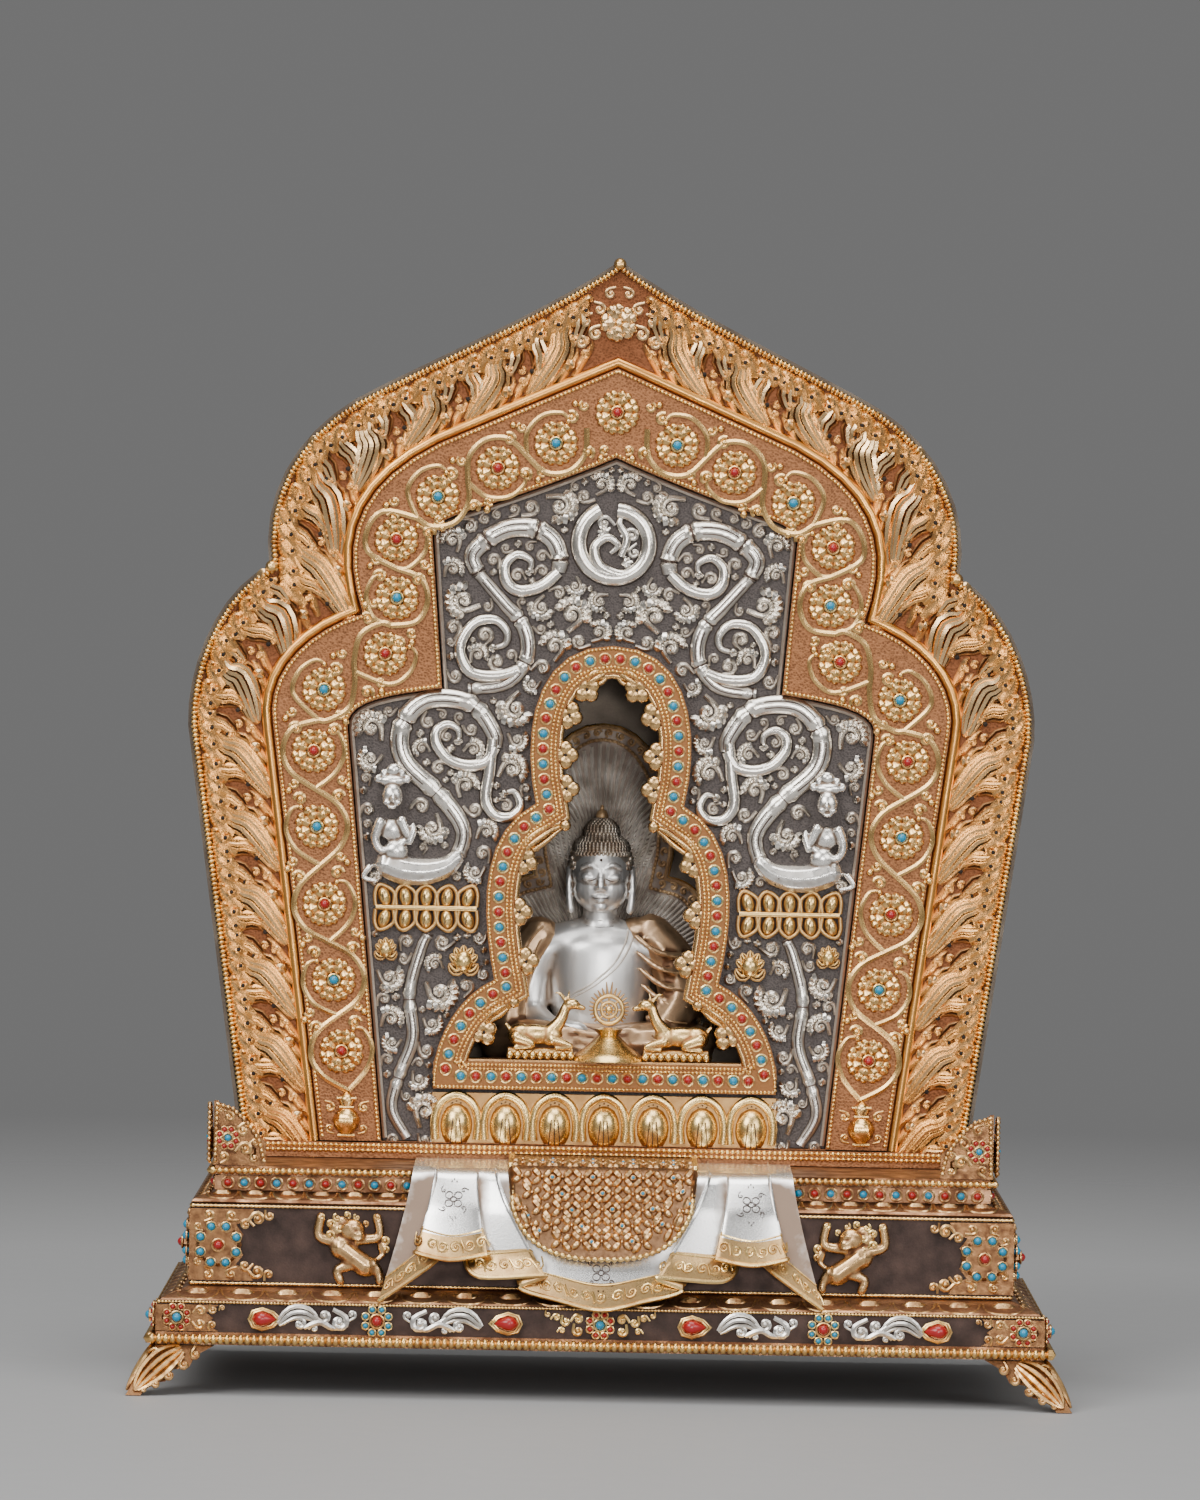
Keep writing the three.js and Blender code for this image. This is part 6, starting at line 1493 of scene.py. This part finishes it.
def makeOrnaments():
    for name, hand in (("left", -1), ("right", 1)):
        sideWall = side(1 if hand > 0 else 3)

        def frontPut(a, out, b):
            return front(hand * a, out, b)

        def sidePut(a, out, b):
            return sideWall(-hand * a, out, b)

        gold = Relief("ornament", 6)
        stones = newStones()
        for put, edge, out in ((frontPut, 132.5, 66.0), (sidePut, 64.5, 134.0)):
            a = edge - 8.2
            stoneFlower(gold, stones, put, (a, 47.75), out + 0.8, 6.3, 1.3, 1.5, "coral", "turquoise", 1.6)
            ringAt(gold, put, (a, 47.75), 3.6, 0.5, out, 16)
            for da, up, radius, turn, spin in (
                    (-12.6, 56.4, 2.5, 0.4, 1), (-8.8, 54.4, 2.0, 2.6, -1), (-12.6, 39.2, 2.5, 5.8, -1), (-8.8, 41.0, 2.0, 3.6, 1),
                    (-16.4, 57.4, 1.7, 0.2, -1), (-16.4, 38.2, 1.7, 6.0, 1), (-4.2, 57.2, 2.0, 4.4, 1), (-4.2, 38.4, 2.0, 1.6, -1),
                    (3.2, 57.4, 1.9, 4.6, -1), (3.2, 38.2, 1.9, 1.8, 1), (6.6, 53.6, 1.5, 4.6, 1), (6.6, 42, 1.5, 1.8, -1)):
                curl(gold, put, (a + da, up), radius, turn, spin, out, radius * 0.34)
        for put, edge, out in ((frontPut, 142.5, 76.2), (sidePut, 74.5, 144.2)):
            a = edge - 5.6
            stoneFlower(gold, stones, put, (a, 24.9), out + 0.5, 3.5, 0.75, 1.5, "turquoise", "coral", 1.2)
            for da, up, radius, turn, spin in ((-7.6, 27.0, 1.9, 0.4, 1), (-7.4, 22.8, 1.9, 5.8, -1), (-11.6, 27.4, 1.5, 0.4, -1), (-11.4, 22.4, 1.5, 5.8, 1), (-14.6, 28, 1.0, 0, 1)):
                curl(gold, put, (a + da, up), radius, turn, spin, out, radius * 0.34)
        for put, edge, out in ((frontPut, 126.7, 60.0), (sidePut, 58.7, 128.0)):
            stoneFlower(gold, stones, put, (edge - 4.6, 82), out + 0.2, 2.9, 0.75, 1.1, "turquoise", "coral")
            for da, up, radius, turn, spin in (
                    (-10.4, 78.6, 2.5, 0.4, 1), (-13.4, 75.6, 1.5, 0.2, -1), (-9.4, 84.6, 2.1, 1.2, -1), (-5.0, 89, 1.8, 1.6, 1),
                    (-3.4, 76, 1.8, 4.4, -1), (-2.2, 91.4, 1.2, 1.6, -1), (-13.6, 80.6, 1.4, 0.6, 1)):
                curl(gold, put, (edge + da, up), radius, turn, spin, out, radius * 0.36)
            rim = [(-0.6, 74), (-0.8, 84), (-1.0, 93), (-6, 91.6), (-11, 87), (-15, 81), (-16.6, 74)]
            gold.beads([put(edge + da, out + 0.2, up) for da, up in rim], 1.7, 0.8)
        finished("cornerOrnament_" + name, [gold.made(), stones["turquoise"].made(), stones["coral"].made()], [])

        for label, centre, turned in (("outer", 91.7, 1), ("inner", 50.9, -1)):
            scroll = Relief("baseSilver", 6)

            def scrollPut(a, out, b):
                return front(hand * (centre + turned * a), out, 24.6 + b)

            strands(scroll, scrollPut, [(12.4, -1.4), (8, 2.2), (3, 2.2), (-1, -1)], 76.0, 1.9, 3, rise=0.8)
            tapered(scroll, scrollPut, [(4, -2.6), (-1, -0.6), (-5, -2.4), (-9, -2.2)], 76.1, 1.1, 0.6, 0.5)
            for a, b, radius, turn, spin in ((5.4, -1.2, 2.2, 1.4, 1), (-2.4, 1.4, 2.4, 5.6, -1), (-7.4, -0.4, 3.3, 1.8, 1), (-11.4, 2.0, 1.6, 4.4, -1), (0.8, -2.8, 1.3, 0.6, 1)):
                curl(scroll, scrollPut, (a, b), radius, turn, spin, 76.1, radius * 0.34)
            finished(label + "SilverScroll_" + name, [scroll.made()], [label + "_scroll_" + name])
        for label, centre in (("outer", 108.8), ("inner", 30.2)):
            rim = Relief("trim", 6)
            stone = Relief("coral", 10)
            loop = [(-4.6, 0), (-2.6, 1.9), (0.4, 2.9), (3.0, 2.1), (4.0, 0), (3.0, -2.1), (0.4, -2.9), (-2.6, -1.9)]
            flip = 1 if label == "outer" else -1
            for grow, depth in ((1.0, 76.2), (1.22, 75.9)):
                rim.line([front(hand * (centre + flip * a * grow), depth, 24.6 + b * grow) for a, b in loop], [0.42] * 8, True)
            axis = front(flip * hand, 0, 0) - front(0, 0, 0)
            stone.line([front(hand * (centre + flip * a), 75.9, 24.6) for a in (-4.0, -3.2, -2, -0.6, 0.8, 2.2, 3.1, 3.6)], [0.2, 0.9, 1.6, 2.2, 2.5, 2.1, 1.2, 0.2])
            finished(label + "CoralDrop_" + name, [rim.made(), stone.made()], [label + "_drop_" + name])
        flower = Relief("trim", 6)
        stones = newStones()
        stoneFlower(flower, stones, frontPut, (72.2, 24.6), 76.2, 4.0, 0.85, 1.75, "coral", "turquoise")
        finished("stoneRosette_" + name, [flower.made(), stones["turquoise"].made(), stones["coral"].made()], ["block_flower_" + name])

        lionAt = 81.5

        def spot(a, out, b):
            return front(hand * (lionAt - a), 64.8 + out, b)

        eggs = [
            (spot(0.6, 2.6, 53.4), (4.1, 2.8, 3.6)), (spot(2.2, 3.8, 52.0), (2.4, 1.9, 1.8)), (spot(-4.6, 1.8, 53.8), (2.6, 2.0, 2.9)),
            (spot(-3.0, 1.8, 56.0), (2.4, 1.8, 1.8)), (spot(-2.8, 2.2, 47.6), (3.9, 2.8, 3.9)), (spot(0.6, 2.2, 44.4), (3.6, 2.6, 3.4)),
            (spot(5.2, 2.0, 41.6), (4.4, 2.6, 3.4)), (spot(10.6, 1.2, 48.4), (1.9, 1.3, 2.8))]
        limbs = [
            ([spot(-2.8, 2.0, 47.6), spot(1.4, 2.0, 44.6), spot(5.2, 2.0, 41.8)], [3.6, 3.3, 3.6]),
            ([spot(-5.0, 2, 49.6), spot(-10.2, 2, 51.2), spot(-9.6, 2.2, 57.4)], [2.1, 1.7, 1.6]),
            ([spot(2.4, 2.2, 50.2), spot(9.2, 2.2, 51.4), spot(8.6, 2.2, 57.4)], [2.0, 1.6, 1.6]),
            ([spot(7.0, 2, 42.4), spot(9.4, 2, 39.4), spot(9.8, 2.4, 36.8)], [2.4, 1.7, 1.4]),
            ([spot(2.4, 2.2, 42.6), spot(-3.8, 2.2, 40.4), spot(-3.0, 2.4, 36.8)], [2.2, 1.7, 1.5]),
            ([spot(8.4, 1.4, 43.6), spot(10.8, 1.2, 45.6)], [1.0, 0.9]),
            ([spot(-2.2, 4.6, 54.8), spot(-0.6, 5.0, 55.2)], [0.5, 0.6]), ([spot(1.6, 5.2, 54.6), spot(3.0, 5.0, 54.2)], [0.6, 0.5]),
            ([spot(0.6, 5.2, 51.0), spot(2.6, 5.4, 50.4), spot(4.2, 4.6, 51.0)], [0.4, 0.5, 0.4])]
        lion = carved("lion", eggs, limbs, 0.44, "lionGold", 2)
        mane = Relief("trim", 6)
        for a, b, radius in (
                (-6.4, 55.2, 1.7), (-6.6, 51.6, 1.7), (-4.4, 57.4, 1.5), (-1.2, 58.2, 1.4), (2.0, 57.6, 1.3), (-3.4, 54.0, 1.7),
                (-3.8, 50.4, 1.5), (4.8, 55.6, 1.2), (11.2, 50.2, 1.7), (11.4, 47.4, 1.4), (-9.4, 57.8, 1.3), (8.6, 57.8, 1.3)):
            curl(mane, lambda x, out, z: spot(x, out, z), (a, b), radius, a, 1, 3.4, radius * 0.34, 1.0, False)
        finished("snowLion_" + name, [lion, mane.made()], ["snow_lion_" + name])

    centre = Relief("trim", 6)
    stones = newStones()
    stoneFlower(centre, stones, front, (0, 24.7), 76.2, 3.6, 0.8, 1.5, "turquoise", "coral")
    for hand in (-1, 1):
        for a, b, radius, spin in ((7.2, 26.6, 1.9, 1), (7.2, 22.8, 1.9, -1), (11.2, 25.8, 1.7, -1), (14.2, 27.0, 1.4, 1), (17, 28, 1.0, -1), (12.4, 22.8, 1.2, 1)):
            curl(centre, front, (hand * a, b), radius, math.pi / 2 - hand * 1.2, spin * hand, 76.0, radius * 0.34)
    finished("centreOrnament", [centre.made(), stones["turquoise"].made(), stones["coral"].made()], ["block_centre"])

    for depthName, deep in (("front", -1), ("back", 1)):
        for name, hand in (("left", -1), ("right", 1)):
            leaf = Relief("ornament", 6)
            for tip, base, crosswise in ((152.2, 76.2, True), (84.2, 144.2, False)):
                def legPut(d, out, b):
                    a = tip - d
                    far = base + (15.7 - b) * 9 / 15.7 + out
                    return Vector((hand * a, deep * far, b)) if crosswise else Vector((hand * far, deep * a, b))

                strands(leaf, legPut, [(17, 14.6), (12, 11.4), (6.5, 6.4), (2.4, 1.6)], 0.0, 3.4, 4, rise=0.9)
                for d, b, radius, spin in ((21.6, 13.0, 1.9, 1), (18.0, 9.8, 1.9, 1), (13.4, 6.4, 1.8, 1), (9.2, 3.8, 1.6, 1), (5.4, 2.0, 1.1, 1), (8.4, 13.4, 1.6, -1)):
                    curl(leaf, legPut, (d, b), radius, 2.4, spin, 0.2, radius * 0.36)
            finished("footLeaf_" + depthName + "_" + name, [leaf.made()], [])
    print("ornaments done")


makeBox()
makeFlames()
makeRosetteBand()
makeScrollPanel()
makeWindow()
makeGiltTrim()
makeFigure()
makeHalo()
makeDeerAndWheel()
makeBase()
makeCloth()
makeOrnaments()


# Nodes that are kept take a finish by their name
keptFinish = {
    "foot_": "plate", "corner_crest_": "plate", "waist_ornament_": "plate",
    "block_corner_": "plate",
    "buddha_pedestal": "bronze"}
for name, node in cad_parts.items():
    for start, look in keptFinish.items():
        if name.startswith(start):
            node.data.materials.clear()
            node.data.materials.append(finish[look])
print("kept nodes dressed")


# Floor, light and camera

studio = {"floor": 0.36, "fade": (0.55, 1.3), "world": 0.17, "eye": (-0.0036, -3.010, 0.285), "down": 1.449, "roll": 1.1, "lens": 145.45}
bpy.ops.mesh.primitive_circle_add(vertices=96, radius=1.4, fill_type="NGON", location=(0, 0, -0.0002))
floor = bpy.context.view_layer.objects.active
floor.name = "studioFloor"
floorMaterial, shader, place = blankMaterial("paleFloor")
distance = place.node("ShaderNodeVectorMath", {0: place}, output=1, operation="LENGTH")
grain = place.noise(90, 3)
dress(shader, (studio["floor"],) * 3 + (1,), 0.55 + grain * 0.08, 0.0)
floorMaterial.node_tree.links.new((1.0 - distance.between(*studio["fade"])).socket, shader.inputs["Alpha"])
floor.data.materials.append(floorMaterial)

world = bpy.data.worlds.new("studio")
world.use_nodes = True
world.node_tree.nodes["Background"].inputs[0].default_value = (studio["world"],) * 3 + (1,)
bpy.context.scene.world = world

for name, place, size, power in (
        ("keyLight", (-1.5, -2.2, 1.9), 1.5, 68), ("fillLight", (1.7, -2.3, 1.3), 1.5, 34),
        ("topLight", (0.0, -0.5, 2.1), 1.3, 34), ("frontLight", (0.0, -3.6, 1.0), 2.0, 7),
        ("windowLight", (0.2, -2.3, 0.36), 0.4, 12)):
    bpy.ops.object.light_add(type="AREA", location=place)
    light = bpy.context.view_layer.objects.active
    light.name = name
    light.data.size = size
    light.data.energy = power
    light.rotation_euler = (Vector((0, 0, 0.18)) - Vector(place)).to_track_quat("-Z", "Y").to_euler()

bpy.ops.object.camera_add(location=studio["eye"])
camera = bpy.context.view_layer.objects.active
tilt = Matrix.Rotation(math.radians(90 - studio["down"]), 4, "X") @ Matrix.Rotation(math.radians(studio["roll"]), 4, "Z")
camera.rotation_euler = tilt.to_euler()
camera.data.sensor_width = 24
camera.data.sensor_height = 24
camera.data.lens = studio["lens"]
bpy.context.scene.camera = camera
